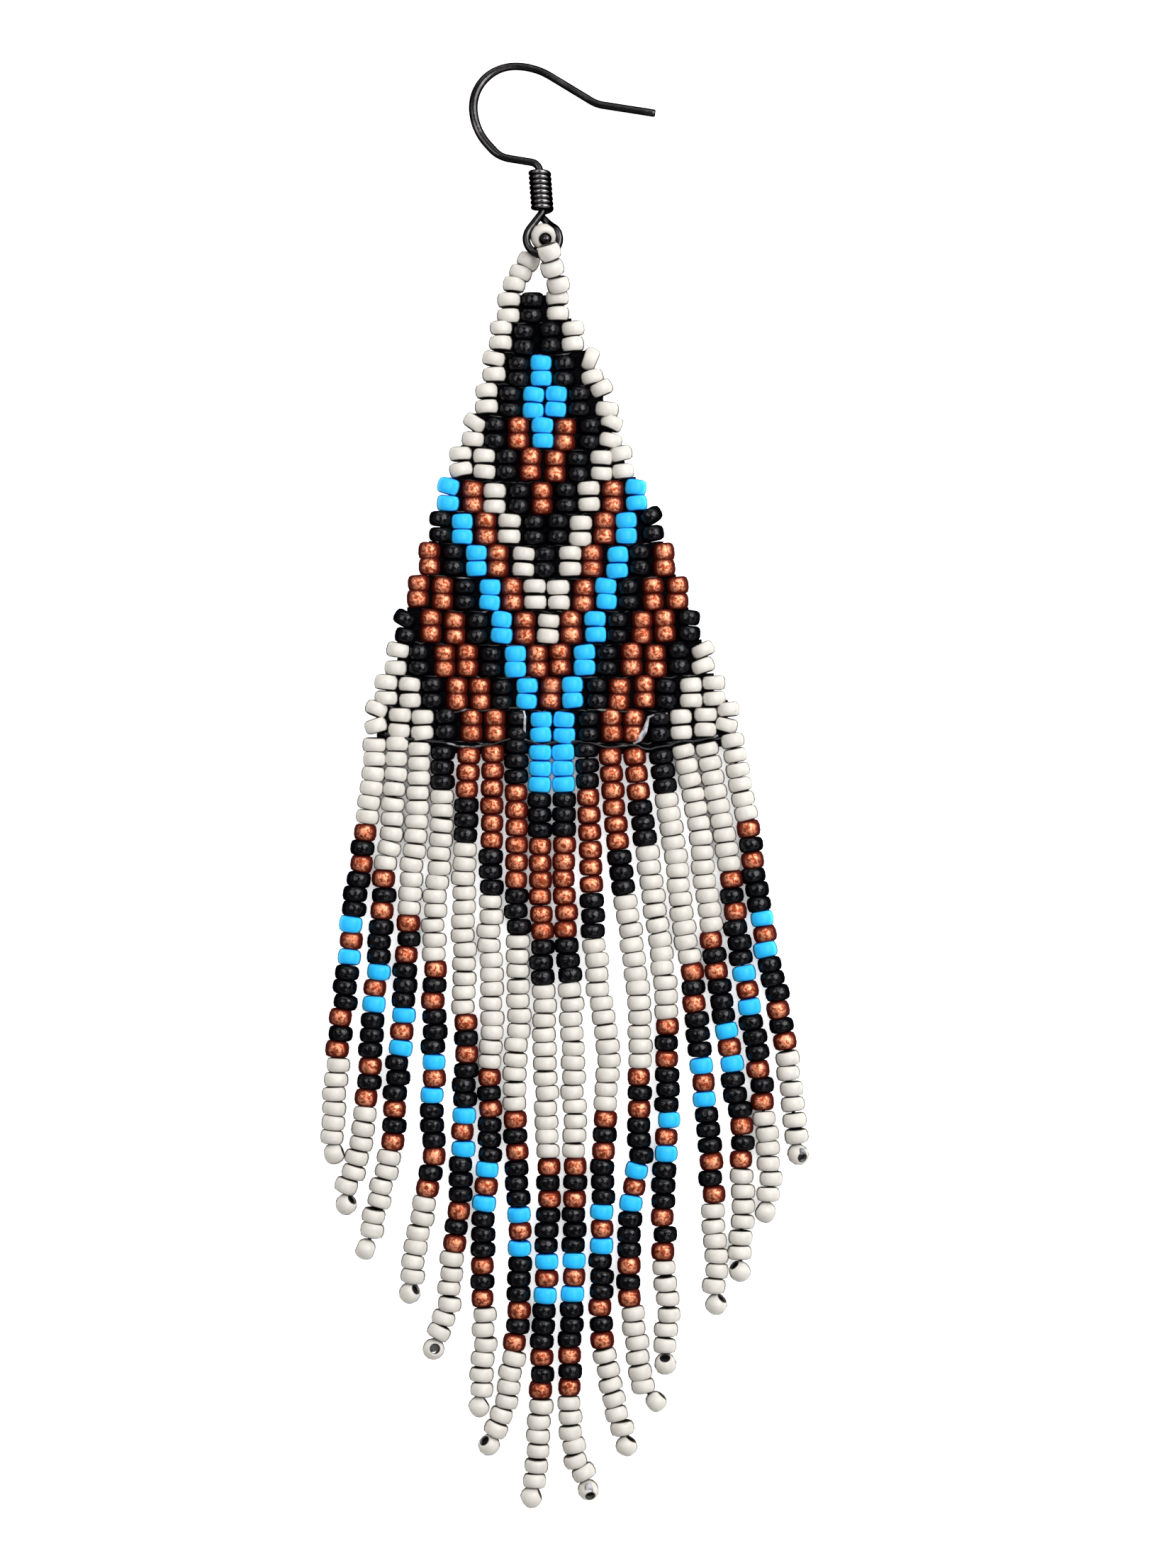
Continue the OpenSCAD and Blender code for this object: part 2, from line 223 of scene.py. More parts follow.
# Routes of the fringe strings, from the first bead's centre to the last straight bead's,
# then the stop bead's centre
STRING_ROUTES = [
    [(-17.8, 3.6), (-17.9, 0.9), (-18.3, -1.5), (-18.7, -4.7), (-19.2, -8.0), (-19.8, -12.0),
     (-20.2, -15.7), (-20.6, -20.0), (-21.1, -23.5), (-21.4, -27.7), (-21.6, -31.0),
     (-21.9, -33.2), (-21.6, -34.7)],
    [(-15.7, 3.7), (-15.8, 0.9), (-16.1, -2.0), (-16.2, -4.7), (-16.8, -8.0), (-17.1, -13.0),
     (-17.5, -17.5), (-17.9, -22.3), (-18.2, -26.5), (-18.7, -31.0), (-19.2, -33.9),
     (-19.9, -36.5), (-20.4, -37.8), (-20.5, -39.5)],
    [(-13.6, 3.2), (-13.7, 0.0), (-14.0, -5.0), (-14.5, -10.0), (-14.8, -16.2), (-15.2, -21.9),
     (-15.7, -27.0), (-16.1, -33.5), (-16.7, -36.4), (-17.5, -39.2), (-18.0, -42.0),
     (-18.7, -43.7)],
    [(-11.4, 2.9), (-11.5, -2.6), (-11.8, -7.9), (-12.2, -11.5), (-12.2, -19.0), (-12.3, -25.5),
     (-12.4, -30.5), (-12.4, -35.5), (-12.8, -38.1), (-13.3, -40.3), (-13.8, -43.0),
     (-14.3, -46.3), (-14.5, -47.8)],
    [(-9.0, 2.6), (-9.2, -2.6), (-9.4, -8.0), (-9.4, -15.5), (-9.5, -19.0), (-9.3, -24.0),
     (-9.4, -30.0), (-9.7, -35.7), (-9.9, -40.5), (-10.3, -43.2), (-10.7, -47.5),
     (-11.2, -50.3), (-11.8, -51.5), (-12.3, -53.1)],
    [(-6.7, 2.8), (-6.8, -3.0), (-6.9, -10.0), (-7.0, -16.0), (-6.8, -21.8), (-7.1, -27.5),
     (-6.9, -32.0), (-7.3, -37.5), (-7.7, -43.5), (-7.6, -48.3), (-7.5, -51.5),
     (-7.6, -54.3), (-7.8, -56.9), (-8.0, -58.5)],
    [(-4.5, 3.5), (-4.5, -2.5), (-4.5, -9.0), (-4.3, -16.3), (-4.3, -22.5), (-4.7, -29.0),
     (-4.5, -35.0), (-4.2, -42.1), (-4.3, -48.0), (-4.6, -53.0), (-5.2, -56.0),
     (-5.6, -58.3), (-6.5, -60.6), (-7.1, -62.1)],
    [(-2.3, 2.9), (-2.3, -2.7), (-2.3, -8.9), (-2.1, -15.4), (-1.8, -22.0), (-1.7, -29.3),
     (-1.5, -36.0), (-1.6, -42.5), (-1.8, -49.0), (-2.1, -53.9), (-2.3, -60.0),
     (-2.5, -62.7), (-2.7, -65.5), (-3.1, -67.0)],
    [(-0.1, 2.9), (0.0, -2.9), (0.0, -8.9), (0.3, -15.1), (0.7, -21.8), (0.8, -27.6),
     (1.0, -33.3), (1.0, -39.0), (0.8, -45.5), (0.6, -51.0), (0.5, -58.1), (0.6, -60.9),
     (1.1, -63.4), (1.7, -64.8), (2.3, -66.3)],
    [(2.1, 3.1), (2.3, -2.8), (2.5, -9.3), (2.8, -14.6), (3.4, -20.5), (4.1, -26.5),
     (3.9, -31.5), (3.6, -38.0), (3.5, -45.0), (3.3, -49.9), (3.6, -53.0), (4.2, -56.0),
     (4.9, -58.5), (5.3, -60.6), (5.9, -62.2)],
    [(4.3, 2.5), (4.7, -2.5), (5.3, -8.0), (6.2, -13.3), (6.9, -19.1), (7.1, -24.0),
     (7.1, -29.0), (7.1, -34.9), (6.4, -39.3), (6.1, -45.3), (6.2, -48.5), (6.7, -52.5),
     (7.5, -56.6), (8.7, -58.0)],
    [(6.6, 2.5), (7.1, -2.0), (7.8, -6.5), (8.5, -11.9), (9.3, -17.0), (9.7, -22.1),
     (9.7, -28.1), (9.7, -33.0), (9.4, -38.5), (9.4, -44.0), (9.7, -49.8), (9.6, -52.8),
     (9.5, -54.5)],
    [(9.1, 2.5), (9.7, -2.2), (10.6, -7.5), (11.1, -12.5), (11.8, -17.0), (12.4, -22.0),
     (13.1, -27.5), (13.5, -33.0), (13.9, -38.0), (14.2, -42.3), (14.3, -45.0),
     (14.1, -47.2), (14.3, -48.9)],
    [(11.2, 3.0), (12.0, -0.6), (12.8, -5.0), (13.3, -9.7), (13.9, -14.5), (14.6, -19.0),
     (15.4, -24.2), (16.1, -28.6), (16.6, -33.0), (16.7, -38.1), (16.6, -44.1),
     (16.5, -45.8)],
    [(13.4, 3.2), (14.2, -0.8), (15.0, -4.8), (15.6, -8.9), (16.2, -13.7), (16.9, -18.0),
     (17.6, -22.8), (18.3, -27.0), (18.8, -31.6), (19.2, -35.0), (19.3, -38.6),
     (18.9, -40.2)],
    [(15.8, 4.0), (16.5, 0.0), (17.2, -3.7), (17.7, -7.5), (18.4, -12.3), (19.2, -16.7),
     (20.1, -20.6), (20.8, -24.3), (21.3, -29.0), (21.8, -33.1), (22.0, -34.8)],
]
# How much further up than evenly spread each string's beads sit: at its middle, and in its upper
# half against its lower half, in millimetres
LIFTS = [
    (0, 0), (-0.1, -0.15), (0.25, -0.15), (0.2, -0.05), (0.35, -0.1), (0.1, -0.15), (-0.1, 0),
    (0.3, -0.05), (0.1, 0.1), (0, -0.2), (0.1, 0), (0.4, -0.25), (0.45, 0), (0.35, -0.2),
    (0.3, -0.05), (0.4, -0.3),
]
# The share of the sway that a string's first beads have, and the beads between which it grows
FIRST_SWAY = 0.25
SWAY_GROWS = (4, 12)
# How far each stop bead is drawn up to the bead above it, as a share of the way
STOP_DRAWN_UP = 0.06
# How far the thread in a stop bead's hole reaches from the bead's middle, in millimetres. It is thick
# enough
# to fill the hole: partly the real thread, partly painted shade inside the hole
PLUG_REACH = 0.6
# Where each string's stop bead points its hole: azimuth, and elevation towards the viewer
STOP_HOLES = [
    (20, 3), (37, 28), (160, 3), (35, 35), (40, 78), (35, 3), (132, 42), (28, 3), (-70, 50),
    (58, 12), (45, 3), (92, 45), (52, 22), (135, 22), (-28, 3), (-30, 62),
]

# Ear wire, from its tip to its ring: the straight run, then the bend after it (degrees, left is
# positive) and that bend's radius
WIRE_STEPS = [
    (5.0, -23, 3.0),
    (4.5, 31.5, 6.2),
    (0, 90, 4.0),
    (0, 42, 5.4),
    (0.65, 39, 2.6),
    (2.15, -77, 0.9),
    (3.75, -41, 0.6),
    (1.8, 262, 1.56),
    (1.9, 0, 1),
]
TIP_AT = (8.62, 63.2)
TIP_HEADING = 171.5
STEM_STEP = 6
COIL_START = 0.05
RING_STEP = 7
# The hook leans about a line through its ring: the ring's height, and the line's and the lean's angles
RING_Z = 2.24
LEAN_LINE = -20
LEAN = 7.127
WIRE_SPACING = 0.25
WIRE_SIDES = 16
# The hook's hammered stretch: the headings between which it widens and narrows again, and the share of
# the wire that it lies within
FLAT_FROM = (195, 225)
FLAT_TO = (310, 340)
FLAT_WITHIN = 0.62
# How far the ring's end passes under the stem, and how many points from the end it goes down
RING_DROP = 0.75
RING_DROP_POINTS = (11, 5)
# The wire's bevelled tip: the bevel's length, and the width of its end against the wire
TIP_BEVEL = 0.1
TIP_END = 0.72
# The wire's cut at its ring: where it starts between the last two points, and the width of its end
CUT_START = 0.3
CUT_END = 0.8


class SeedBeads(bpy.types.PropertyGroup):
    """Sizes of the seed beads and how uneven they are"""

    diameter: FloatProperty(
        name="Diameter", description="Outer diameter of a bead", default=2.2 * MM, unit="LENGTH"
    )
    length: FloatProperty(
        name="Length", description="Length of a bead along its thread", default=1.42 * MM, unit="LENGTH"
    )
    wedge: FloatProperty(
        name="Wedge", description="How far the ends are out of parallel", default=0.06, subtype="FACTOR"
    )
    unevenness: FloatProperty(
        name="Unevenness", description="Share by which a bead's size varies", default=0.03, subtype="FACTOR"
    )
    sway: FloatProperty(
        name="Sway", description="How far a bead may sit to one side", default=0.16 * MM, unit="LENGTH"
    )
    tilt: FloatProperty(
        name="Tilt", description="How far a bead may lean on its thread", default=math.radians(3.5),
        subtype="ANGLE"
    )
    seed: IntProperty(name="Seed", description="Seed of the unevenness", default=4)


class Threads(bpy.types.PropertyGroup):
    """Sizes of the beading thread"""

    string_diameter: FloatProperty(
        name="String thread", description="Diameter of the thread in a string", default=0.34 * MM,
        unit="LENGTH"
    )
    stitch_diameter: FloatProperty(
        name="Stitch thread", description="Diameter of a stitch between rows", default=0.2 * MM,
        unit="LENGTH"
    )
    # Thick enough to fill a stop bead's hole: partly the real thread, partly painted shade in the hole
    plug_diameter: FloatProperty(
        name="Stop thread", description="Diameter of the thread that fills a stop bead's hole",
        default=0.954 * MM, unit="LENGTH"
    )
    waviness: FloatProperty(
        name="Waviness", description="How far a stitch strays from its line", default=0.12 * MM,
        unit="LENGTH"
    )


class EarWire(bpy.types.PropertyGroup):
    """Sizes of the ear wire and its coil"""

    diameter: FloatProperty(
        name="Wire", description="Diameter of the ear wire", default=0.72 * MM, unit="LENGTH"
    )
    flat_width: FloatProperty(
        name="Flattened width", description="Width of the hook's hammered stretch", default=0.84 * MM,
        unit="LENGTH"
    )
    coil_diameter: FloatProperty(
        name="Coil", description="Outer diameter of the coil", default=2.17 * MM, unit="LENGTH"
    )
    coil_wire: FloatProperty(
        name="Coil wire", description="Diameter of the coil's wire", default=0.47 * MM, unit="LENGTH"
    )
    coil_turns: IntProperty(name="Turns", description="Number of turns of the coil", default=8)


def colour_property(name, red, green, blue):
    """A colour that a user can change."""
    return FloatVectorProperty(
        name=name, description=f"Colour of the {name.lower()}", default=(red, green, blue, 1),
        size=4, subtype="COLOR", min=0, max=1
    )


class Finishes(bpy.types.PropertyGroup):
    """Colours of the beads, thread and wire"""

    white: colour_property("White glass", 0.562, 0.533, 0.486)
    black: colour_property("Black glass", 0.0012, 0.0013, 0.0022)
    copper: colour_property("Copper lining", 0.865, 0.314, 0.177)
    blue: colour_property("Blue glass", 0.018, 0.42, 0.88)
    thread: colour_property("Thread", 0.003, 0.003, 0.004)
    wire: colour_property("Wire", 0.033, 0.0315, 0.032)


class Studio(bpy.types.PropertyGroup):
    """The floor, lamps and camera"""

    floor_size: FloatProperty(
        name="Floor", description="Side of the floor", default=4, unit="LENGTH"
    )
    floor_glow: FloatProperty(
        name="Floor glow", description="How brightly the floor is lit from behind", default=0.85
    )
    lamp_power: FloatProperty(
        name="Lamp power", description="Power of the lamps, against the ordinary", default=1.0
    )
    surround: FloatProperty(
        name="Surround", description="Strength of the light from all round", default=0.12
    )
    walls: FloatProperty(
        name="Walls", description="Strength of the light from the pale walls round the floor", default=0.5
    )
    camera_height: FloatProperty(
        name="Camera height", description="Height of the camera over the beads", default=0.348,
        unit="LENGTH"
    )


# Geometry and shader nodes


def socket_named(sockets, key):
    """The socket at a place, or the first one in use that has a name."""
    if isinstance(key, int):
        return sockets[key]
    return next(s for s in sockets if s.name == key and s.enabled)


def put(tree, kind, inputs=None, **settings):
    """Adds a node to a tree, with its settings and what feeds each input."""
    node = tree.nodes.new(kind)
    for name, value in settings.items():
        setattr(node, name, value)
    for key, value in (inputs or {}).items():
        socket = socket_named(node.inputs, key)
        if isinstance(value, bpy.types.NodeSocket):
            tree.links.new(value, socket)
        else:
            socket.default_value = value
    return node


def out(node, key=None):
    """A node's output by name, or its first one in use."""
    if key is not None:
        return socket_named(node.outputs, key)
    return next(s for s in node.outputs if s.enabled)


def math_node(tree, operation, *values):
    """The result of a sum on one to three numbers."""
    return out(put(tree, "ShaderNodeMath", dict(enumerate(values)), operation=operation))


def vector_node(tree, operation, *values):
    """The result of a sum on vectors."""
    return out(put(tree, "ShaderNodeVectorMath", dict(enumerate(values)), operation=operation))


def scaled(tree, vector, share):
    """A vector made longer or shorter."""
    inputs = {"Vector": vector, "Scale": share}
    return out(put(tree, "ShaderNodeVectorMath", inputs, operation="SCALE"))


def part_of(tree, vector, axis):
    """One of a vector's three parts."""
    return out(put(tree, "ShaderNodeSeparateXYZ", {"Vector": vector}), axis)


def coordinates(tree, kind="Object"):
    """A place or a direction on a piece's own coordinates, or a direction in the surround."""
    return out(put(tree, "ShaderNodeTexCoord"), kind)


def bead_attribute(tree, name, kind="Fac"):
    """A value that the beads of a piece carry."""
    return out(put(tree, "ShaderNodeAttribute", attribute_name=name), kind)


def new_tree(name, inputs):
    """A geometry tree with one geometry in and out and some named inputs."""
    tree = bpy.data.node_groups.new(name, "GeometryNodeTree")
    tree.interface.new_socket("Geometry", in_out="INPUT", socket_type="NodeSocketGeometry")
    tree.interface.new_socket("Geometry", in_out="OUTPUT", socket_type="NodeSocketGeometry")
    for label, kind in inputs:
        tree.interface.new_socket(label, in_out="INPUT", socket_type="NodeSocket" + kind)
    return tree, put(tree, "NodeGroupInput").outputs, put(tree, "NodeGroupOutput").inputs


def attribute(tree, name, kind):
    """A named attribute in a geometry tree."""
    return out(put(tree, "GeometryNodeInputNamedAttribute", {"Name": name}, data_type=kind))


def chance(tree, low, high, seed, salt, kind="FLOAT"):
    """A random value for each element."""
    salted = math_node(tree, "ADD", seed, salt)
    inputs = {"Min": low, "Max": high, "Seed": salted}
    return out(put(tree, "FunctionNodeRandomValue", inputs, data_type=kind))


def end_tree(tree, geometry, result, material):
    """Makes the instances real and gives the piece its material."""
    geometry = out(put(tree, "GeometryNodeRealizeInstances", {"Geometry": geometry}))
    geometry = out(put(tree, "GeometryNodeSetShadeSmooth", {"Geometry": geometry}))
    inputs = {"Geometry": geometry, "Material": material}
    tree.links.new(out(put(tree, "GeometryNodeSetMaterial", inputs)), result[0])


# How far a bead may sit ahead of its place, as a share of how far it may sit to one side
AHEAD = 0.25


def bead_tree():
    """A tree that puts a bead on each vertex: on a route at its share of it, or free at its own place."""
    tree, given, result = new_tree("Seed beads", [
        ("Route", "Object"), ("Shapes", "Collection"), ("Sway", "Float"), ("Tilt", "Float"),
        ("Unevenness", "Float"), ("Seed", "Int"), ("Material", "Material"),
    ])
    route = put(tree, "GeometryNodeObjectInfo", {"Object": given["Route"]})
    smooth = put(
        tree, "GeometryNodeCurveSplineType", {"Curve": out(route, "Geometry")}, spline_type="CATMULL_ROM"
    )
    strung = put(
        tree, "GeometryNodeSampleCurve",
        {"Curves": out(smooth), "Factor": attribute(tree, "share", "FLOAT")},
        mode="FACTOR", use_all_curves=True,
    )
    free = attribute(tree, "free", "FLOAT")

    def either(on_route, on_its_own):
        """The first for a bead on a route, and the second for a free one."""
        inputs = {"Factor": free, "A": on_route, "B": on_its_own}
        return out(put(tree, "ShaderNodeMix", inputs, data_type="VECTOR"))

    place = either(out(strung, "Position"), out(put(tree, "GeometryNodeInputPosition")))
    axis = either(out(strung, "Tangent"), attribute(tree, "axis", "FLOAT_VECTOR"))

    side = vector_node(tree, "NORMALIZE", vector_node(tree, "CROSS_PRODUCT", axis, UP))
    reach = math_node(tree, "MULTIPLY", given["Sway"], attribute(tree, "loose", "FLOAT"))
    aside = math_node(tree, "MULTIPLY", reach, chance(tree, -1.0, 1.0, given["Seed"], 0))
    ahead = math_node(tree, "MULTIPLY", reach, chance(tree, -AHEAD, AHEAD, given["Seed"], 6))
    rise = out(put(tree, "ShaderNodeCombineXYZ", {"Z": attribute(tree, "rise", "FLOAT")}))
    for move in (scaled(tree, side, aside), rise, scaled(tree, axis, ahead)):
        place = vector_node(tree, "ADD", place, move)
    points = put(tree, "GeometryNodeSetPosition", {"Geometry": given["Geometry"], "Position": place})

    lean_x = math_node(tree, "MULTIPLY", given["Tilt"], chance(tree, -1.0, 1.0, given["Seed"], 1))
    lean_y = math_node(tree, "MULTIPLY", given["Tilt"], chance(tree, -1.0, 1.0, given["Seed"], 2))
    spin = chance(tree, 0.0, math.tau, given["Seed"], 3)
    turn = put(tree, "ShaderNodeCombineXYZ", {"X": lean_x, "Y": lean_y, "Z": spin})
    along = put(tree, "FunctionNodeAlignRotationToVector", {"Vector": axis}, axis="Z")
    turned = put(
        tree, "FunctionNodeRotateRotation",
        {
            "Rotation": out(along),
            "Rotate By": out(put(tree, "FunctionNodeEulerToRotation", {"Euler": out(turn)})),
        },
        rotation_space="LOCAL",
    )
    least = math_node(tree, "SUBTRACT", 1.0, given["Unevenness"])
    most = math_node(tree, "ADD", 1.0, given["Unevenness"])
    size = chance(tree, least, most, given["Seed"], 4, "FLOAT_VECTOR")
    size = vector_node(tree, "MULTIPLY", size, attribute(tree, "size", "FLOAT_VECTOR"))

    shapes = put(
        tree, "GeometryNodeCollectionInfo",
        {"Collection": given["Shapes"], "Separate Children": True, "Reset Children": True},
    )
    beads = put(tree, "GeometryNodeInstanceOnPoints", {
        "Points": out(points), "Instance": out(shapes), "Pick Instance": True,
        "Instance Index": attribute(tree, "kind", "INT"), "Rotation": out(turned), "Scale": size,
    })
    marked = put(
        tree, "GeometryNodeStoreNamedAttribute",
        {
            "Geometry": out(beads), "Name": "bead_seed",
            "Value": chance(tree, 0.0, 1.0, given["Seed"], 5),
        },
        data_type="FLOAT", domain="INSTANCE",
    )
    end_tree(tree, out(marked), result, given["Material"])
    return tree


# A thread's points follow each other at this many millimetres
THREAD_STEP = 0.45
THREAD_SIDES = 6
COIL_STEPS = 28
COIL_SIDES = 10


def thread_tree():
    """A tree that makes a thread of each chain of edges."""
    tree, given, result = new_tree("Threads", [
        ("Diameter", "Float"), ("Waviness", "Float"), ("Seed", "Int"), ("Material", "Material"),
    ])
    curve = put(tree, "GeometryNodeMeshToCurve", {"Mesh": given["Geometry"]})
    smooth = put(
        tree, "GeometryNodeCurveSplineType", {"Curve": out(curve)}, spline_type="CATMULL_ROM"
    )
    inputs = {"Curve": out(smooth), "Length": THREAD_STEP * MM}
    fine = put(tree, "GeometryNodeResampleCurve", inputs, mode="LENGTH")
    offset = chance(tree, (-1.0, -1.0, -1.0), (1.0, 1.0, 1.0), given["Seed"], 0, "FLOAT_VECTOR")
    stray = scaled(tree, offset, given["Waviness"])
    moved = put(tree, "GeometryNodeSetPosition", {"Geometry": out(fine), "Offset": stray})
    tube = tube_round(tree, moved, given["Diameter"], THREAD_SIDES)
    end_tree(tree, tube, result, given["Material"])
    return tree


def tube_round(tree, curve, diameter, sides):
    """A tube with closed ends round a curve."""
    radius = math_node(tree, "MULTIPLY", diameter, 0.5)
    inputs = {"Resolution": sides, "Radius": radius}
    ring = put(tree, "GeometryNodeCurvePrimitiveCircle", inputs, mode="RADIUS")
    inputs = {"Curve": out(curve), "Profile Curve": out(ring), "Fill Caps": True}
    return out(put(tree, "GeometryNodeCurveToMesh", inputs))


def coil_tree():
    """A tree that winds a coil about its own place."""
    tree, given, result = new_tree("Coil", [
        ("Turns", "Float"), ("Coil diameter", "Float"), ("Wire diameter", "Float"),
        ("Place", "Vector"), ("Rotation", "Rotation"), ("Material", "Material"),
    ])
    across = math_node(tree, "SUBTRACT", given["Coil diameter"], given["Wire diameter"])
    radius = math_node(tree, "MULTIPLY", across, 0.5)
    height = math_node(tree, "MULTIPLY", given["Turns"], given["Wire diameter"])
    spiral = put(tree, "GeometryNodeCurveSpiral", {
        "Resolution": COIL_STEPS, "Rotations": given["Turns"], "Start Radius": radius,
        "End Radius": radius, "Height": height,
    })
    tube = tube_round(tree, spiral, given["Wire diameter"], COIL_SIDES)
    placed = put(tree, "GeometryNodeTransform", {
        "Geometry": tube, "Translation": given["Place"], "Rotation": given["Rotation"],
    })
    end_tree(tree, out(placed), result, given["Material"])
    return tree


def dress(obj, tree, values):
    """Runs a geometry tree on an object with some values, and keeps the result as its plain mesh."""
    modifier = obj.modifiers.new(tree.name, "NODES")
    modifier.node_group = tree
    for item in tree.interface.items_tree:
        if item.in_out == "INPUT" and item.name in values:
            modifier[item.identifier] = values[item.name]
    depsgraph = bpy.context.evaluated_depsgraph_get()
    made = bpy.data.meshes.new_from_object(
        obj.evaluated_get(depsgraph), preserve_all_data_layers=True, depsgraph=depsgraph
    )
    chart = obj.data
    obj.modifiers.clear()
    obj.data = made
    bpy.data.meshes.remove(chart)
    return obj


# Meshes


def mesh_object(name, vertices, edges=(), faces=()):
    """A new object in the scene with a mesh of its own."""
    mesh = bpy.data.meshes.new(name)
    mesh.from_pydata([tuple(v) for v in vertices], edges, faces)
    obj = bpy.data.objects.new(name, mesh)
    bpy.context.scene.collection.objects.link(obj)
    return obj


def write_attribute(mesh, name, kind, values):
    """Gives every vertex a value."""
    made = mesh.attributes.new(name, kind, "POINT")
    if kind == "FLOAT_VECTOR":
        made.data.foreach_set("vector", [x for v in values for x in v])
    else:
        made.data.foreach_set("value", values)


def in_frame(point):
    """A place in millimetres on the earring, as a place in the frame."""
    point = Vector((point[0], point[1], point[2] if len(point) > 2 else 0))
    return (point + CENTRING) * MM


def direction(azimuth, elevation):
    """The unit vector at an azimuth and an elevation in degrees."""
    azimuth, elevation = math.radians(azimuth), math.radians(elevation)
    return Vector((
        math.cos(elevation) * math.cos(azimuth),
        math.cos(elevation) * math.sin(azimuth),
        math.sin(elevation),
    ))


def keep(piece, slot, *nodes):
    """Hangs a finished piece on the earring's one body, in place of some of the frame's nodes."""
    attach(piece, "root")
    if nodes:
        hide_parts(*nodes)


# Outline of a bead from its hole's mouth to its side, as shares of its radius and half its length
ROUND_OUTLINE = [(0.41, 0.90), (0.67, 0.99), (0.90, 0.80), (1.0, 0.34)]
SQUARE_OUTLINE = [(0.41, 0.92), (0.65, 1.0), (0.88, 0.84), (1.0, 0.36)]
STOP_OUTLINE = [(0.44, 0.94), (0.65, 0.85), (0.88, 0.58), (1.0, 0.18)]
BEAD_SIDES = 12
# Outline, and diameter and length against the ordinary bead, for each kind
BEAD_SHAPES = {
    "W": (SQUARE_OUTLINE, 1.03, 0.97),
    "K": (ROUND_OUTLINE, 1.05, 1.0),
    "C": (SQUARE_OUTLINE, 1.0, 1.14),
    "B": (ROUND_OUTLINE, 1.01, 1.08),
    "S": (STOP_OUTLINE, 0.92, 1.32),
}
# The kinds of bead of each colour
COLOURS = {"white": "WS", "black": "K", "copper": "C", "blue": "B"}


def bead_shape(name, outline, diameter, length, wedge):
    """One bead about the Z axis, which remembers its own coordinates for its material."""
    profile = outline + [(r, -z) for r, z in reversed(outline)]
    vertices = []
    for side in range(BEAD_SIDES):
        angle = math.tau * side / BEAD_SIDES
        vertices += [(r * math.cos(angle), r * math.sin(angle), z) for r, z in profile]
    rows = len(profile)
    faces = []
    for side in range(BEAD_SIDES):
        here, there = side * rows, (side + 1) % BEAD_SIDES * rows
        for k in range(rows):
            after = (k + 1) % rows
            faces.append((here + k, here + after, there + after, there + k))
    placed = [
        (x * diameter / 2, y * diameter / 2, z * length / 2 * (1 + wedge * x)) for x, y, z in vertices
    ]
    obj = mesh_object(name, placed, faces=faces)
    write_attribute(obj.data, "bead_at", "FLOAT_VECTOR", vertices)
    return obj


def bead_shapes(beads):
    """The collection with one bead of each kind, in the order of the kinds."""
    if SHAPES in bpy.data.collections:
        return bpy.data.collections[SHAPES]
    shapes = bpy.data.collections.new(SHAPES)
    for kind, letter in enumerate(KINDS):
        outline, wide, long = BEAD_SHAPES[letter]
        shape = bead_shape(
            f"shape_{kind}", outline, beads.diameter * wide, beads.length * long, beads.wedge
        )
        bpy.context.scene.collection.objects.unlink(shape)
        shapes.objects.link(shape)
    return shapes


class Chart:
    """Beads to be made: each one's kind, where it is and how it lies."""

    def __init__(self):
        self.beads = []

    def add(
        self, letter, place=(0, 0, 0), axis=(0, 0, 0), share=0.0, free=1.0, loose=1.0, rise=0.0,
        bare=0.0, size=(1, 1, 1)
    ):
        """Adds one bead: on the string's route, or free; and with its ends bare, or between others."""
        self.beads.append({
            "place": tuple(place), "kind": KINDS.index(letter), "share": share, "free": free,
            "loose": loose, "rise": rise, "bare": bare, "axis": tuple(axis), "size": size,
        })

    def make(self, name, node, route=None, seed=0):
        """Turns the chart into one piece for each colour, in place of a node of the frame."""
        beads = bpy.context.scene.seed_beads
        types = {"kind": "INT", "axis": "FLOAT_VECTOR", "size": "FLOAT_VECTOR"}
        tree = bpy.data.node_groups.get("Seed beads") or bead_tree()
        for number, (colour, letters) in enumerate(COLOURS.items()):
            chosen = [bead for bead in self.beads if KINDS[bead["kind"]] in letters]
            if not chosen:
                continue
            obj = mesh_object(f"{name}_{colour}", [bead["place"] for bead in chosen])
            for key in chosen[0]:
                if key != "place":
                    values = [bead[key] for bead in chosen]
                    write_attribute(obj.data, key, types.get(key, "FLOAT"), values)
            piece = dress(obj, tree, {
                "Route": route, "Shapes": bead_shapes(beads), "Sway": beads.sway, "Tilt": beads.tilt,
                "Unevenness": beads.unevenness, "Seed": beads.seed + seed + 1000 * number,
                "Material": bpy.data.materials[f"{colour}_glass"],
            })
            keep(piece, f"{colour}_beads", node)


def shares_along(letters):
    """Where each bead of a string comes, as a share of the way from the first to the last."""
    lengths = [BEAD_SHAPES[letter][2] for letter in letters]
    reached = [0.0]
    for before, after in zip(lengths, lengths[1:]):
        reached.append(reached[-1] + (before + after) / 2)
    return [way / reached[-1] for way in reached]


# Room under a lying bead for its tilt, in millimetres
LYING_ROOM = 0.04


def lying_height(letter, elevation=0):
    """Height of a bead's middle as it lies with its axis raised, with a little room for its tilt."""
    beads = bpy.context.scene.seed_beads
    outline, wide, long = BEAD_SHAPES[letter]
    raised = math.radians(elevation)
    across = math.cos(raised) * beads.diameter * wide / 2
    along = math.sin(raised) * beads.length * long / 2
    return max(r * across + z * along for r, z in outline) + LYING_ROOM * MM


# Materials


def new_material(name, roughness, **constants):
    """A material with a principled shader, and the constant values of its sockets."""
    material = bpy.data.materials.new(name)
    material.use_nodes = True
    tree = material.node_tree
    shader = tree.nodes["Principled BSDF"]
    shader.inputs["Roughness"].default_value = roughness
    for socket, value in constants.items():
        shader.inputs[socket.replace("_", " ")].default_value = value
    return material, tree, shader


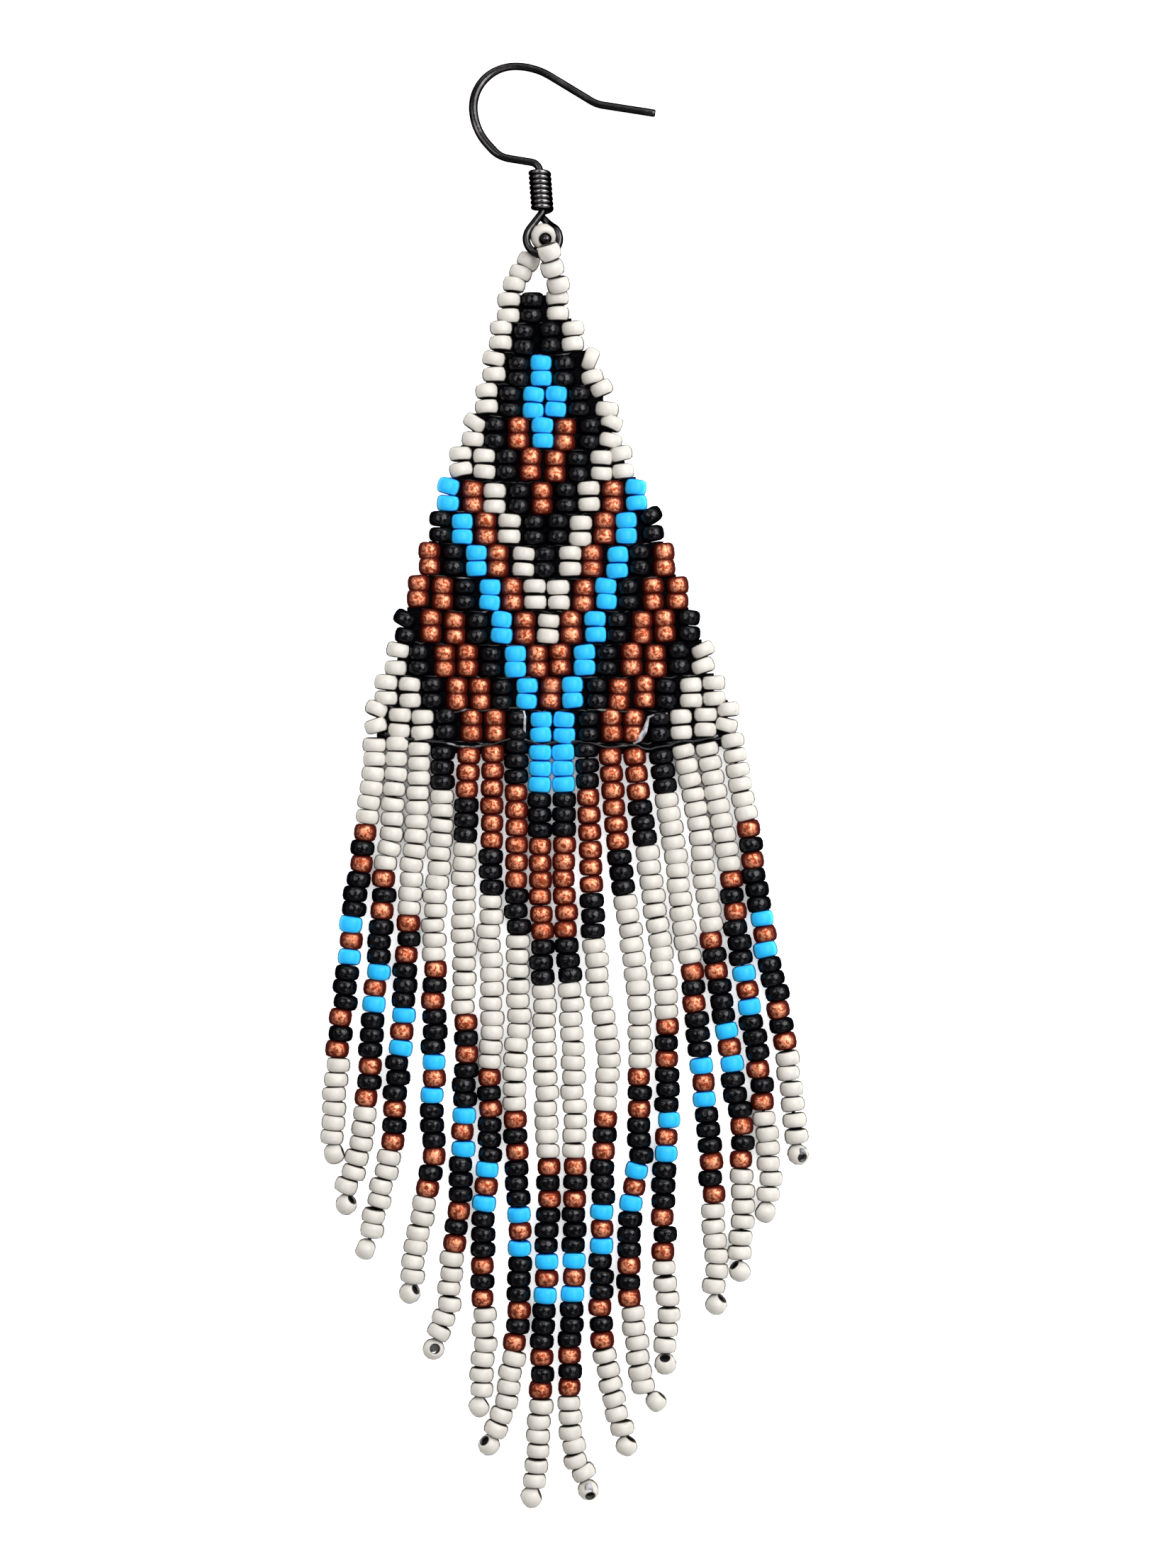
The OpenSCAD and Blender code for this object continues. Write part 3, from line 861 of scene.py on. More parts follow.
def ramp(tree, value, low, high):
    """Goes smoothly from 0 to 1 as a value goes from low to high."""
    inputs = {"Value": value, "From Min": low, "From Max": high, "To Min": 0.0, "To Max": 1.0}
    return out(put(tree, "ShaderNodeMapRange", inputs, interpolation_type="SMOOTHSTEP"))


def blend_colours(tree, share, first, second, blend_type="MIX"):
    """A mix of two colours."""
    inputs = {"Factor": share, "A": first, "B": second}
    return out(put(tree, "ShaderNodeMix", inputs, data_type="RGBA", blend_type=blend_type))


def surface_noise(tree, scale, detail=3.0, stretch=(1, 1, 1), distortion=0.0):
    """Noise on the piece's own coordinates, scale times as fine as a millimetre."""
    at = coordinates(tree)
    mapped = put(tree, "ShaderNodeMapping", {"Vector": at, "Scale": [s * scale / MM for s in stretch]})
    inputs = {"Vector": out(mapped), "Scale": 1.0, "Detail": detail, "Distortion": distortion}
    return out(put(tree, "ShaderNodeTexNoise", inputs))


def upward(tree):
    """How far the surface faces straight up or down, from 0 to 1."""
    return math_node(tree, "ABSOLUTE", part_of(tree, coordinates(tree, "Normal"), "Z"))


def bead_end(tree):
    """How far out towards a bead's ends a point is, from 0 at its waist to 1, but 0 if they are bare."""
    along = part_of(tree, bead_attribute(tree, "bead_at", "Vector"), "Z")
    covered = math_node(tree, "SUBTRACT", 1.0, bead_attribute(tree, "bare"))
    return math_node(tree, "MULTIPLY", math_node(tree, "ABSOLUTE", along), covered)


def bead_reach(tree):
    """How far out from a bead's own axis a point is, up to 1."""
    at = bead_attribute(tree, "bead_at", "Vector")
    flat = vector_node(tree, "MULTIPLY", at, (1, 1, 0))
    return out(put(tree, "ShaderNodeVectorMath", {0: flat}, operation="LENGTH"), "Value")


def bead_seed(tree):
    """A number from 0 to 1 that is each bead's own."""
    return bead_attribute(tree, "bead_seed")


def add_bump(tree, shader, height, distance, strength=1.0):
    """Raises the surface by a height, in metres."""
    inputs = {"Height": height, "Distance": distance, "Strength": strength}
    tree.links.new(out(put(tree, "ShaderNodeBump", inputs)), shader.inputs["Normal"])


def shade(colour, share):
    """A colour made darker."""
    return (colour[0] * share, colour[1] * share, colour[2] * share, 1)


def white_glass(colours):
    """Opaque warm white glass with fine marks, a painted paler band of light on its flanks, and painted
    shade on its steepest sides, at its ends and in its hole.
    """
    # Painted shade: the dark outline of a bead's steepest sides
    rim = (0.08, 0.07, 0.058, 1)
    mark = (0.11, 0.095, 0.08, 1)
    # Painted shade for the ends where one bead meets the next, and for the inside of the hole
    gap_shade_colour = (0.030, 0.026, 0.020, 1)
    material, tree, shader = new_material("white_glass", 0.42)
    tint = blend_colours(
        tree, bead_seed(tree), shade(colours.white, 0.95), shade(colours.white, 1.06)
    )
    blotch = ramp(tree, surface_noise(tree, 0.9), 0.35, 0.75)
    tint = blend_colours(tree, blotch, tint, shade(colours.white, 0.90))
    facing = upward(tree)
    # Painted light and shade by how the surface faces: a paler band on the flanks, the dark outline on the
    # steepest sides
    top = ramp(tree, facing, 0.45, 0.85)
    above_side_shade = ramp(tree, facing, 0.18, 0.47)
    tint = blend_colours(tree, top, shade(colours.white, 1.08), tint)
    colour = blend_colours(tree, above_side_shade, rim, tint)
    speck = ramp(tree, surface_noise(tree, 3.2, 5.0, (1, 2.4, 1), 0.6), 0.70, 0.76)
    speck = math_node(tree, "MULTIPLY", speck, 0.75)
    colour = blend_colours(tree, speck, colour, mark)
    # Painted shade at the ends, where one bead meets the next, and inside the hole
    gap_shade = ramp(tree, bead_end(tree), 0.83, 0.95)
    inside = ramp(tree, bead_reach(tree), 0.53, 0.46)
    gap_shade = math_node(tree, "MAXIMUM", gap_shade, inside)
    colour = blend_colours(tree, gap_shade, colour, gap_shade_colour)
    tree.links.new(colour, shader.inputs["Base Color"])
    add_bump(tree, shader, surface_noise(tree, 2.5), 0.02 * MM)
    return material


def black_glass(colours):
    """Opaque black glass with a soft gloss, a little dust and dull sides."""
    dusty = (0.10, 0.10, 0.11, 1)
    most_dust, most_gloss = 0.07, 0.22
    material, tree, shader = new_material("black_glass", 0.1)
    dust = ramp(tree, surface_noise(tree, 5.0, 4.0), 0.70, 0.78)
    dust = math_node(tree, "MULTIPLY", dust, most_dust)
    colour = blend_colours(tree, dust, tuple(colours.black), dusty)
    tree.links.new(colour, shader.inputs["Base Color"])
    rough = put(tree, "ShaderNodeMapRange", {
        "Value": surface_noise(tree, 2.2), "From Min": 0.3, "From Max": 0.7, "To Min": 0.07,
        "To Max": 0.13,
    })
    tree.links.new(out(rough), shader.inputs["Roughness"])
    top = ramp(tree, upward(tree), 0.35, 0.75)
    gloss = math_node(tree, "MULTIPLY", top, most_gloss)
    tree.links.new(gloss, shader.inputs["Specular IOR Level"])
    add_bump(tree, shader, surface_noise(tree, 2.6), 0.06 * MM)
    return material


def copper_glass(colours):
    """Mottled metallic copper that turns dark brown at the sides and ends: partly the glass's own glazed
    edge, partly painted shade.
    """
    brown = (0.25, 0.045, 0.018, 1)
    # Partly the glass's own edge, partly painted shade: the dark brown of the sides and ends
    glaze_and_shade = (0.065, 0.0045, 0.002, 1)
    material, tree, shader = new_material("copper_glass", 0.43, Specular_IOR_Level=0.12)
    mottle = surface_noise(tree, 3.0, 5.0, distortion=0.5)
    dull = shade(colours.copper, 0.82)
    bright = blend_colours(tree, bead_seed(tree), tuple(colours.copper), dull)
    clear = ramp(tree, mottle, 0.40, 0.59)
    colour = blend_colours(tree, clear, brown, bright)
    # Painted shade, partly the glass's own edge: the metal shows only where the surface faces up and away
    # from the ends, where beads meet
    top = ramp(tree, upward(tree), 0.64, 0.94)
    ends = ramp(tree, bead_end(tree), 0.62, 0.88)
    lit_lining = math_node(tree, "MULTIPLY", top, math_node(tree, "SUBTRACT", 1.0, ends))
    colour = blend_colours(tree, lit_lining, glaze_and_shade, colour)
    tree.links.new(colour, shader.inputs["Base Color"])
    tree.links.new(lit_lining, shader.inputs["Metallic"])
    add_bump(tree, shader, mottle, 0.07 * MM)
    return material


def blue_glass(colours):
    """Opaque sky blue glass, with a painted paler band of light on its flanks and painted shade in a deeper
    blue on its steepest sides and at its ends.
    """
    # Painted shade: the deeper blue of the steepest sides and of the ends
    shade_blue = (0.002, 0.06, 0.42, 1)
    # Painted light: the paler blue of the flanks
    pale = (0.05, 0.60, 1.0, 1)
    material, tree, shader = new_material("blue_glass", 0.4, Specular_IOR_Level=0.2)
    tint = blend_colours(tree, bead_seed(tree), shade(colours.blue, 0.94), tuple(colours.blue))
    facing = upward(tree)
    top = ramp(tree, facing, 0.50, 0.85)
    above_side_shade = ramp(tree, facing, 0.12, 0.50)
    # Painted shade at the ends, where one bead meets the next
    ends = ramp(tree, bead_end(tree), 0.78, 0.99)
    tint = blend_colours(tree, top, pale, tint)
    colour = blend_colours(tree, above_side_shade, shade_blue, tint)
    colour = blend_colours(tree, ends, colour, shade_blue)
    tree.links.new(colour, shader.inputs["Base Color"])
    add_bump(tree, shader, surface_noise(tree, 1.8), 0.02 * MM)
    return material


def dark_thread(colours):
    """Black nylon thread, glossier where it lies on the beads, with painted glints there in light grey
    patches.
    """
    # Painted glints: the light grey of the patches
    glint_grey = (0.22, 0.22, 0.23, 1)
    material, tree, shader = new_material("dark_thread", 0.35)
    # Painted glints in patches where the thread lies high on the beads
    wear_and_glint = ramp(tree, surface_noise(tree, 0.7), 0.56, 0.70)
    outside = ramp(tree, part_of(tree, coordinates(tree), "Z"), 1.3 * MM, 1.6 * MM)
    tree.links.new(math_node(tree, "MULTIPLY", outside, 0.5), shader.inputs["Specular IOR Level"])
    wear_and_glint = math_node(tree, "MULTIPLY", wear_and_glint, outside)
    colour = blend_colours(tree, wear_and_glint, tuple(colours.thread), glint_grey)
    tree.links.new(colour, shader.inputs["Base Color"])
    add_bump(tree, shader, surface_noise(tree, 6.0), 0.02 * MM)
    return material


def loose_thread(colours):
    """Grey nylon thread, flattened and frayed."""
    dark, pale = (0.10, 0.10, 0.11, 1), (0.42, 0.42, 0.44, 1)
    material, tree, shader = new_material("loose_thread", 0.4)
    fray = ramp(tree, surface_noise(tree, 1.5, 5.0), 0.4, 0.6)
    colour = blend_colours(tree, fray, dark, pale)
    tree.links.new(colour, shader.inputs["Base Color"])
    return material


def wire_finish(name, roughness, plain, wear_and_glint):
    """Plated steel wire with lighter wear, fine marks and dark sides."""
    dark_rim = (0.05, 0.05, 0.05, 1)
    material, tree, shader = new_material(name, roughness, Metallic=1.0, Specular_Tint=dark_rim)
    wear = ramp(tree, surface_noise(tree, 0.4, 4.0), 0.46, 0.70)
    tree.links.new(blend_colours(tree, wear, plain, wear_and_glint), shader.inputs["Base Color"])
    add_bump(tree, shader, surface_noise(tree, 2.4, 5.0), 0.02 * MM)
    return material


def dark_wire(colours):
    """The ear wire's black plating."""
    return wire_finish("dark_wire", 0.20, tuple(colours.wire), shade(colours.wire, 2.2))


def coil_wire(colours):
    """The coil's plating, which is brighter."""
    return wire_finish("coil_wire", 0.16, shade(colours.wire, 5.5), shade(colours.wire, 8))


FINISHES = [
    white_glass, black_glass, copper_glass, blue_glass, dark_thread, loose_thread, dark_wire, coil_wire,
]


def ensure_materials():
    """Makes every material once."""
    if "white_glass" not in bpy.data.materials:
        for finish in FINISHES:
            finish(bpy.context.scene.finishes)


# The ear wire's path


def turned(vector, degrees):
    """A flat vector turned to the left."""
    return Matrix.Rotation(math.radians(degrees), 2) @ vector


def wire_path():
    """Points on the flat wire's centre line, each with its heading, and the place before each step."""
    at, heading = Vector(TIP_AT), TIP_HEADING
    points, starts = [(at.copy(), heading)], []
    for run, bend, radius in WIRE_STEPS:
        starts.append((at.copy(), heading))
        way = turned(Vector((1, 0)), heading)
        count = round(run / WIRE_SPACING)
        for k in range(1, count + 1):
            points.append((at + way * run * k / count, heading))
        at = at + way * run
        if bend:
            spoke = turned(way, math.copysign(90, bend)) * radius
            centre = at + spoke
            count = max(4, round(math.radians(abs(bend)) * radius / WIRE_SPACING))
            for k in range(1, count + 1):
                angle = bend * k / count
                points.append((centre - turned(spoke, angle), heading + angle))
            at = centre - turned(spoke, bend)
            heading += bend
    return points, starts


def ring_centre(starts):
    """Centre of the wire's ring, on the flat hook."""
    run, bend, radius = WIRE_STEPS[RING_STEP]
    at, heading = starts[RING_STEP]
    way = turned(Vector((1, 0)), heading)
    return at + way * run + turned(way, math.copysign(90, bend)) * radius


def hook_matrix(ring):
    """Leans the flat hook about its ring and puts it in the frame, in millimetres."""
    pivot = Matrix.Translation(Vector((ring.x, ring.y, RING_Z)) + CENTRING)
    axis = turned(Vector((1, 0)), LEAN_LINE).to_3d()
    return pivot @ Matrix.Rotation(math.radians(-LEAN), 4, axis) @ Matrix.Translation((-ring.x, -ring.y, 0))


def smooth_step(low, high, value):
    """Goes smoothly from 0 to 1 as value goes from low to high."""
    t = min(max((value - low) / (high - low), 0), 1)
    return t * t * (3 - 2 * t)


def sweep(name, stations, sides, material):
    """A smooth closed tube through stations: a centre, and side and up vectors as long as its radii."""
    vertices, faces = [], []
    for centre, side, up in stations:
        for k in range(sides):
            angle = math.tau * k / sides
            vertices.append(centre + side * math.cos(angle) + up * math.sin(angle))
    for s in range(len(stations) - 1):
        for k in range(sides):
            after = (k + 1) % sides
            here, there = s * sides, (s + 1) * sides
            faces.append((here + k, there + k, there + after, here + after))
    faces.append(tuple(range(sides)))
    faces.append(tuple(reversed(range(len(vertices) - sides, len(vertices)))))
    obj = mesh_object(name, vertices, faces=faces)
    obj.data.shade_smooth()
    obj.data.materials.append(bpy.data.materials[material])
    return obj


# Operators


class EARRING_OT_woven_panel(bpy.types.Operator):
    """Weaves the triangular panel of upright bead pairs"""

    bl_idname = "earring.woven_panel"
    bl_label = "Woven Panel"

    def execute(self, context):
        ensure_materials()
        chart = Chart()
        dice = random.Random(context.scene.seed_beads.seed)
        for row in range(len(ROWS)):
            letters = row_colours(row)
            for k, (letter, (x, y)) in enumerate(zip(letters, row_columns(row))):
                x += dice.uniform(-STRAY_ACROSS, STRAY_ACROSS)
                y += dice.uniform(-STRAY_ALONG, STRAY_ALONG)
                lean = dice.uniform(-COLUMN_LEAN, COLUMN_LEAN)
                edge = k if k == 0 else k - len(letters)
                for half, step in enumerate((0.5, -0.5)):
                    turn, across, along = ASKEW.get((row + 1, edge, half), (0, 0, 0))
                    place = in_frame((x + across, y + along + step * BEAD_PITCH))
                    place += UP * lying_height(letter)
                    axis = direction(90 + turn + lean, 0)
                    wide = PANEL_WHITE_WIDTH if letter == "W" else PANEL_WIDTH
                    chart.add(letter, place, axis, loose=PANEL_SWAY, size=(wide, wide, 1))
        chart.make("panel", "woven_panel", seed=100)
        return {"FINISHED"}


def row_colours(row):
    """Colours of a row of the panel, from left to right."""
    columns = FIRST_ROW_COLUMNS + row
    half = math.ceil(columns / 2)
    if row < len(CROWN_ROWS):
        left = CROWN_ROWS[row]
    else:
        first = len(ROWS) - 1 - row
        left = DIAGONAL[first:first + half]
    return left + left[::-1][columns % 2:]


def row_columns(row):
    """Centres of the columns of a row of the panel, in millimetres."""
    middle_x, middle_y = ROWS[row]
    half = (FIRST_ROW_COLUMNS + row - 1) / 2
    curl = 0 if row == 0 else LAST_ROW_CURL if row == len(ROWS) - 1 else ROW_CURL
    columns = []
    for k in range(FIRST_ROW_COLUMNS + row):
        reach = (k - half) / half
        columns.append((middle_x + (k - half) * COLUMN_PITCH, middle_y + curl * reach ** 4))
    return columns


class EARRING_OT_panel_thread(bpy.types.Operator):
    """Lays the threads that show between the panel's beads, with a close dark sheet of them that is partly
    painted shade in its gaps
    """

    bl_idname = "earring.panel_thread"
    bl_label = "Panel Thread"

    def execute(self, context):
        ensure_materials()
        threads = context.scene.threads
        lines = []
        # A close dark sheet of thread under the beads: partly the real thread, partly painted shade in the
        # gaps between them
        for row in range(len(ROWS)):
            below = BACKING_BELOW if row < len(ROWS) - 1 else LAST_ROW_BELOW
            above = BACKING_ABOVE if row > 0 else FIRST_ROW_ABOVE
            for step in range(-below, above + 1):
                lines.append([(x, y + step * BACKING_PITCH, THREAD_Z) for x, y in row_columns(row)])
        waviness = FINE_WAVINESS * MM
        lay_thread("panel_threads", lines, BACKING_THREAD * MM, waviness, seed=1)
        stitches = []
        for row in range(len(ROWS)):
            line = []
            for x, y in row_columns(row):
                for ahead, (under, height) in ((0, STITCH_AT_COLUMN), (0.5, STITCH_BETWEEN)):
                    line.append((x + ahead * COLUMN_PITCH, y - BEAD_PITCH - under, height))
            stitches.append(line[:-1])
        lay_thread("row_stitches", stitches, threads.stitch_diameter, threads.waviness, seed=2)
        garland = [[(*place, GARLAND_Z) for place in line] for line in GARLAND]
        lay_thread("garland_thread", garland, GARLAND_THREAD * MM, waviness, seed=5)
        for number, line in enumerate(LOOSE_THREADS):
            keep(ribbon(f"loose_thread_{number + 1}", line), "thread")
        return {"FINISHED"}


# Half the thickness of a flattened thread
RIBBON_RADIUS = 0.05
RIBBON_SIDES = 8


def ribbon(name, line):
    """A flattened thread through places in millimetres, each with a width."""
    stations = []
    for k, (x, y, z, width) in enumerate(line):
        before, after = line[max(k - 1, 0)], line[min(k + 1, len(line) - 1)]
        side = Vector((before[1] - after[1], after[0] - before[0], 0)).normalized()
        stations.append((in_frame((x, y, z)), side * width / 2 * MM, UP * RIBBON_RADIUS * MM))
    return sweep(name, stations, RIBBON_SIDES, "loose_thread")


def lay_thread(name, lines, diameter, waviness=0.0, seed=0):
    """Makes and keeps a piece of thread along each line, a list of places in millimetres."""
    vertices, edges = [], []
    for line in lines:
        first = len(vertices)
        vertices += [in_frame(p) for p in line]
        edges += [(first + k, first + k + 1) for k in range(len(line) - 1)]
    obj = mesh_object(name, vertices, edges)
    tree = bpy.data.node_groups.get("Threads") or thread_tree()
    piece = dress(obj, tree, {
        "Diameter": diameter, "Waviness": waviness, "Seed": seed,
        "Material": bpy.data.materials["dark_thread"],
    })
    keep(piece, "thread")


class EARRING_OT_bead_strings(bpy.types.Operator):
    """Strings the fringe's beads along their routes, each with its stop bead"""

    bl_idname = "earring.bead_strings"
    bl_label = "Bead Strings"

    def execute(self, context):
        ensure_materials()
        beads, threads = context.scene.seed_beads, context.scene.threads
        for index, route in enumerate(STRING_ROUTES):
            letters = string_colours(index)
            path = route_curve(route[:-1])
            middle, upper = (lift * MM / (len(letters) * beads.length) for lift in LIFTS[index])
            chart = Chart()
            for k, (letter, share) in enumerate(zip(letters, shares_along(letters))):
                share -= middle * math.sin(math.pi * share) + upper * math.sin(math.tau * share)
                loose = FIRST_SWAY + (1 - FIRST_SWAY) * smooth_step(*SWAY_GROWS, k)
                chart.add(letter, share=share, free=0.0, loose=loose, rise=lying_height(letter))
            chart.add("S", stop_place(index) * MM, direction(*STOP_HOLES[index]), loose=0.0, bare=1.0)
            chart.make(f"string_{index + 1:02d}", f"strand_{index + 1:02d}", route=path, seed=index)
            bpy.data.objects.remove(path)
        lines = [[(*place, THREAD_Z) for place in route] for route in STRING_ROUTES]
        lay_thread("string_threads", lines, threads.string_diameter)
        # Dark thread that fills each stop bead's hole: partly the real thread, partly painted shade inside
        # it
        plugs = []
        for index in range(STRINGS):
            reach = direction(*STOP_HOLES[index]) * PLUG_REACH
            plugs.append([stop_place(index) - reach, stop_place(index) + reach])
        lay_thread("stop_threads", plugs, threads.plug_diameter)
        return {"FINISHED"}


def string_colours(index):
    """Colours of a string's straight beads, from the panel down."""
    place = min(index, STRINGS - 1 - index)
    stripe = "".join(letter * BEADS_PER_STRIPE for letter in reversed(DIAGONAL[:place + 1]))
    extra = "W" if index == LONGER_STRING else ""
    return stripe + "W" * BEADS_PER_STRIPE + extra + MOTIF + "W" * TAIL_BEADS


def stop_place(index):
    """Centre of a string's stop bead, which is drawn up close to the last straight bead."""
    before, stop = STRING_ROUTES[index][-2:]
    near = Vector(stop).lerp(Vector(before), STOP_DRAWN_UP)
    return Vector((near.x, near.y, lying_height("S", STOP_HOLES[index][1]) / MM))


def route_curve(points):
    """A curve through a route's points, on the floor."""
    data = bpy.data.curves.new("route", "CURVE")
    data.dimensions = "3D"
    spline = data.splines.new("POLY")
    spline.points.add(len(points) - 1)
    for made, point in zip(spline.points, points):
        made.co = (*in_frame(point), 1)
    obj = bpy.data.objects.new("route", data)
    bpy.context.scene.collection.objects.link(obj)
    return obj


class EARRING_OT_bead_loop(bpy.types.Operator):
    """Threads the loop of beads through the ear wire's ring"""

    bl_idname = "earring.bead_loop"
    bl_label = "Bead Loop"

    def execute(self, context):
        ensure_materials()
        chart = Chart()
        for centre, azimuth, elevation, length in LOOP_BEADS:
            stands = elevation > STANDING_ELEVATION
            bare, wide = (1.0, STANDING_WIDTH) if stands else (0.0, LYING_WIDTH)
            axis = direction(azimuth, elevation)
            chart.add("W", in_frame(centre), axis, loose=0.0, bare=bare, size=(wide, wide, length))
        chart.make("loop_beads", "bead_loop", seed=200)
        first, last = [(*place, THREAD_Z) for place in LOOP_ENDS]
        line = [first, *[bead[0] for bead in LOOP_BEADS], last]
        threads = context.scene.threads
        lay_thread("loop_thread", [line], threads.string_diameter)
        rings = []
        for k in range(KNOT_RINGS + 1):
            angle = math.pi * (KNOT_CAP + (1 - 2 * KNOT_CAP) * k / KNOT_RINGS)
            centre = Vector(KNOT_AT) - UP * KNOT_RADIUS * math.cos(angle)
            reach = KNOT_RADIUS * math.sin(angle) * MM
            rings.append((in_frame(centre), Vector((reach, 0, 0)), Vector((0, reach, 0))))
        keep(sweep("loop_knot", rings, KNOT_SIDES, "dark_wire"), "thread")
        return {"FINISHED"}


class EARRING_OT_ear_wire(bpy.types.Operator):
    """Bends the ear wire from its tip to its ring"""

    bl_idname = "earring.ear_wire"
    bl_label = "Ear Wire"

    def execute(self, context):
        ensure_materials()
        wire = context.scene.ear_wire
        points, starts = wire_path()
        place = hook_matrix(ring_centre(starts))
        turn = place.to_3x3()
        radius = wire.diameter / MM / 2
        down_from, down_to = (len(points) - before for before in RING_DROP_POINTS)
        stations = []
        for k, (at, heading) in enumerate(points):
            flat = smooth_step(*FLAT_FROM, heading) * (1 - smooth_step(*FLAT_TO, heading))
            flat *= k < len(points) * FLAT_WITHIN
            wide = radius + flat * (wire.flat_width / MM / 2 - radius)
            high = radius * radius / wide
            drop = RING_DROP * smooth_step(down_from, down_to, k)
            side = turned(Vector((0, 1)), heading)
            centre = place @ Vector((at.x, at.y, -drop))
            stations.append((centre * MM, turn @ side.to_3d() * wide * MM, turn @ UP * high * MM))
        first, last = stations[0], stations[-1]
        way = (stations[1][0] - first[0]).normalized()
        inner = (first[0], first[1] * TIP_END, first[2] * TIP_END)
        outer = (first[0] + way * TIP_BEVEL * MM, first[1], first[2])
        cut = (last[0], last[1] * CUT_END, last[2] * CUT_END)
        short = (last[0] + (stations[-2][0] - last[0]) * CUT_START, last[1], last[2])
        stations = [inner, outer, *stations[1:-1], short, cut]
        keep(sweep("ear_wire", stations, WIRE_SIDES, "dark_wire"), "ear_wire", "ear_hook")
        return {"FINISHED"}


class EARRING_OT_wire_coil(bpy.types.Operator):
    """Winds the coil round the ear wire's stem"""

    bl_idname = "earring.wire_coil"
    bl_label = "Wire Coil"

    def execute(self, context):
        ensure_materials()
        wire = context.scene.ear_wire
        starts = wire_path()[1]
        place = hook_matrix(ring_centre(starts))
        at, heading = starts[STEM_STEP]
        along = turned(Vector((1, 0)), heading)
        start = at + along * COIL_START
        turn = place.to_3x3()
        axis, under = turn @ along.to_3d(), turn @ -UP
        rotation = Matrix((under, axis.cross(under), axis)).transposed()
        piece = dress(mesh_object("wire_coil", [(0, 0, 0)]), coil_tree(), {
            "Turns": float(wire.coil_turns), "Coil diameter": wire.coil_diameter,
            "Wire diameter": wire.coil_wire, "Place": (place @ start.to_3d()) * MM,
            "Rotation": rotation.to_euler(),
            "Material": bpy.data.materials["coil_wire"],
        })
        keep(piece, "ear_wire", "hook_coil")
        return {"FINISHED"}


# The floor lies this many millimetres under the lowest beads
FLOOR_Z = -0.02
# The floor glows where little stands within this many millimetres above it, and not in narrow gaps
SKY_REACH = 4


class EARRING_OT_studio(bpy.types.Operator):
    """Lays the pale floor and sets up the lamps and the camera"""

    bl_idname = "earring.studio"
    bl_label = "Studio"

    def execute(self, context):
        studio = context.scene.studio
        half = studio.floor_size / 2
        corners = [(x * half, y * half, FLOOR_Z * MM) for x, y in ((-1, -1), (1, -1), (1, 1), (-1, 1))]
        floor = mesh_object("floor", corners, faces=[(0, 1, 2, 3)])
        material, tree, shader = new_material("pale_floor", 0.9, Specular_IOR_Level=0.1)
        grain = ramp(tree, surface_noise(tree, 0.05), 0.3, 0.7)
        colour = blend_colours(tree, grain, (0.93, 0.93, 0.93, 1), (0.95, 0.95, 0.95, 1))
        tree.links.new(colour, shader.inputs["Base Color"])
        shader.inputs["Emission Color"].default_value = (1, 1, 1, 1)
        open_sky = out(put(tree, "ShaderNodeAmbientOcclusion", {"Distance": SKY_REACH * MM}), "AO")
        glow = math_node(tree, "MULTIPLY", ramp(tree, open_sky, 0.05, 0.09), studio.floor_glow)
        tree.links.new(glow, shader.inputs["Emission Strength"])
        floor.data.materials.append(material)
        floor.visible_glossy = False
        hang_lamps(studio)
        light_surround(studio)
        aim_camera(studio)
        context.scene.view_settings.view_transform = "Standard"
        return {"FINISHED"}


# Lamps: place and sides in millimetres, and power in watts at full lamp power
LAMPS = [
    ((220, 140, 360), (280, 280), 2.08),
    ((-190, 100, 360), (220, 220), 0.60),
    ((300, 900, 690), (1900, 480), 5.9),
    ((180, -300, 500), (300, 300), 0.52),
]


def hang_lamps(studio):
    """Soft lamps round the earring, each turned to its middle."""
    for number, (place, sides, power) in enumerate(LAMPS):
        lamp = bpy.data.lights.new(f"lamp_{number + 1}", "AREA")
        lamp.shape = "RECTANGLE"
        lamp.size, lamp.size_y = (side * MM for side in sides)
        lamp.energy = power * studio.lamp_power
        obj = bpy.data.objects.new(lamp.name, lamp)
        place = Vector(place) * MM
        turn = place.to_track_quat("Z", "Y").to_matrix().to_4x4()
        obj.matrix_world = Matrix.Translation(place) @ turn
        obj.visible_camera = False
        bpy.context.scene.collection.objects.link(obj)


def light_surround(studio):
    """A dim surround with pale walls, brighter to the east, and a pale one where the camera sees it."""
    world = bpy.data.worlds.new("surround")
    world.use_nodes = True
    tree = world.node_tree
    way = coordinates(tree, "Generated")
    height = part_of(tree, way, "Z")
    above = ramp(tree, height, 0.22, 0.28)
    below = math_node(tree, "SUBTRACT", 1.0, ramp(tree, height, 0.44, 0.52))
    east = math_node(tree, "ADD", ramp(tree, part_of(tree, way, "X"), -0.9, 0.9), 0.5)
    walls = math_node(tree, "MULTIPLY", math_node(tree, "MULTIPLY", above, below), east)
    sky = math_node(tree, "MULTIPLY", ramp(tree, height, -0.1, 0.3), studio.surround)
    strength = math_node(tree, "MULTIPLY_ADD", walls, studio.walls, sky)
    dim = put(tree, "ShaderNodeBackground", {"Color": (1, 1, 1, 1), "Strength": strength})
    pale = put(tree, "ShaderNodeBackground", {"Color": (1, 1, 1, 1), "Strength": 0.95})
    seen = out(put(tree, "ShaderNodeLightPath"), "Is Camera Ray")
    mixed = put(tree, "ShaderNodeMixShader", {0: seen, 1: out(dim), 2: out(pale)})
    tree.links.new(out(mixed), tree.nodes["World Output"].inputs["Surface"])
    bpy.context.scene.world = world


# Where the camera looks, in millimetres, at the height of the beads' middles
VIEW_CENTRE = (2.23, -0.07, 1.03)


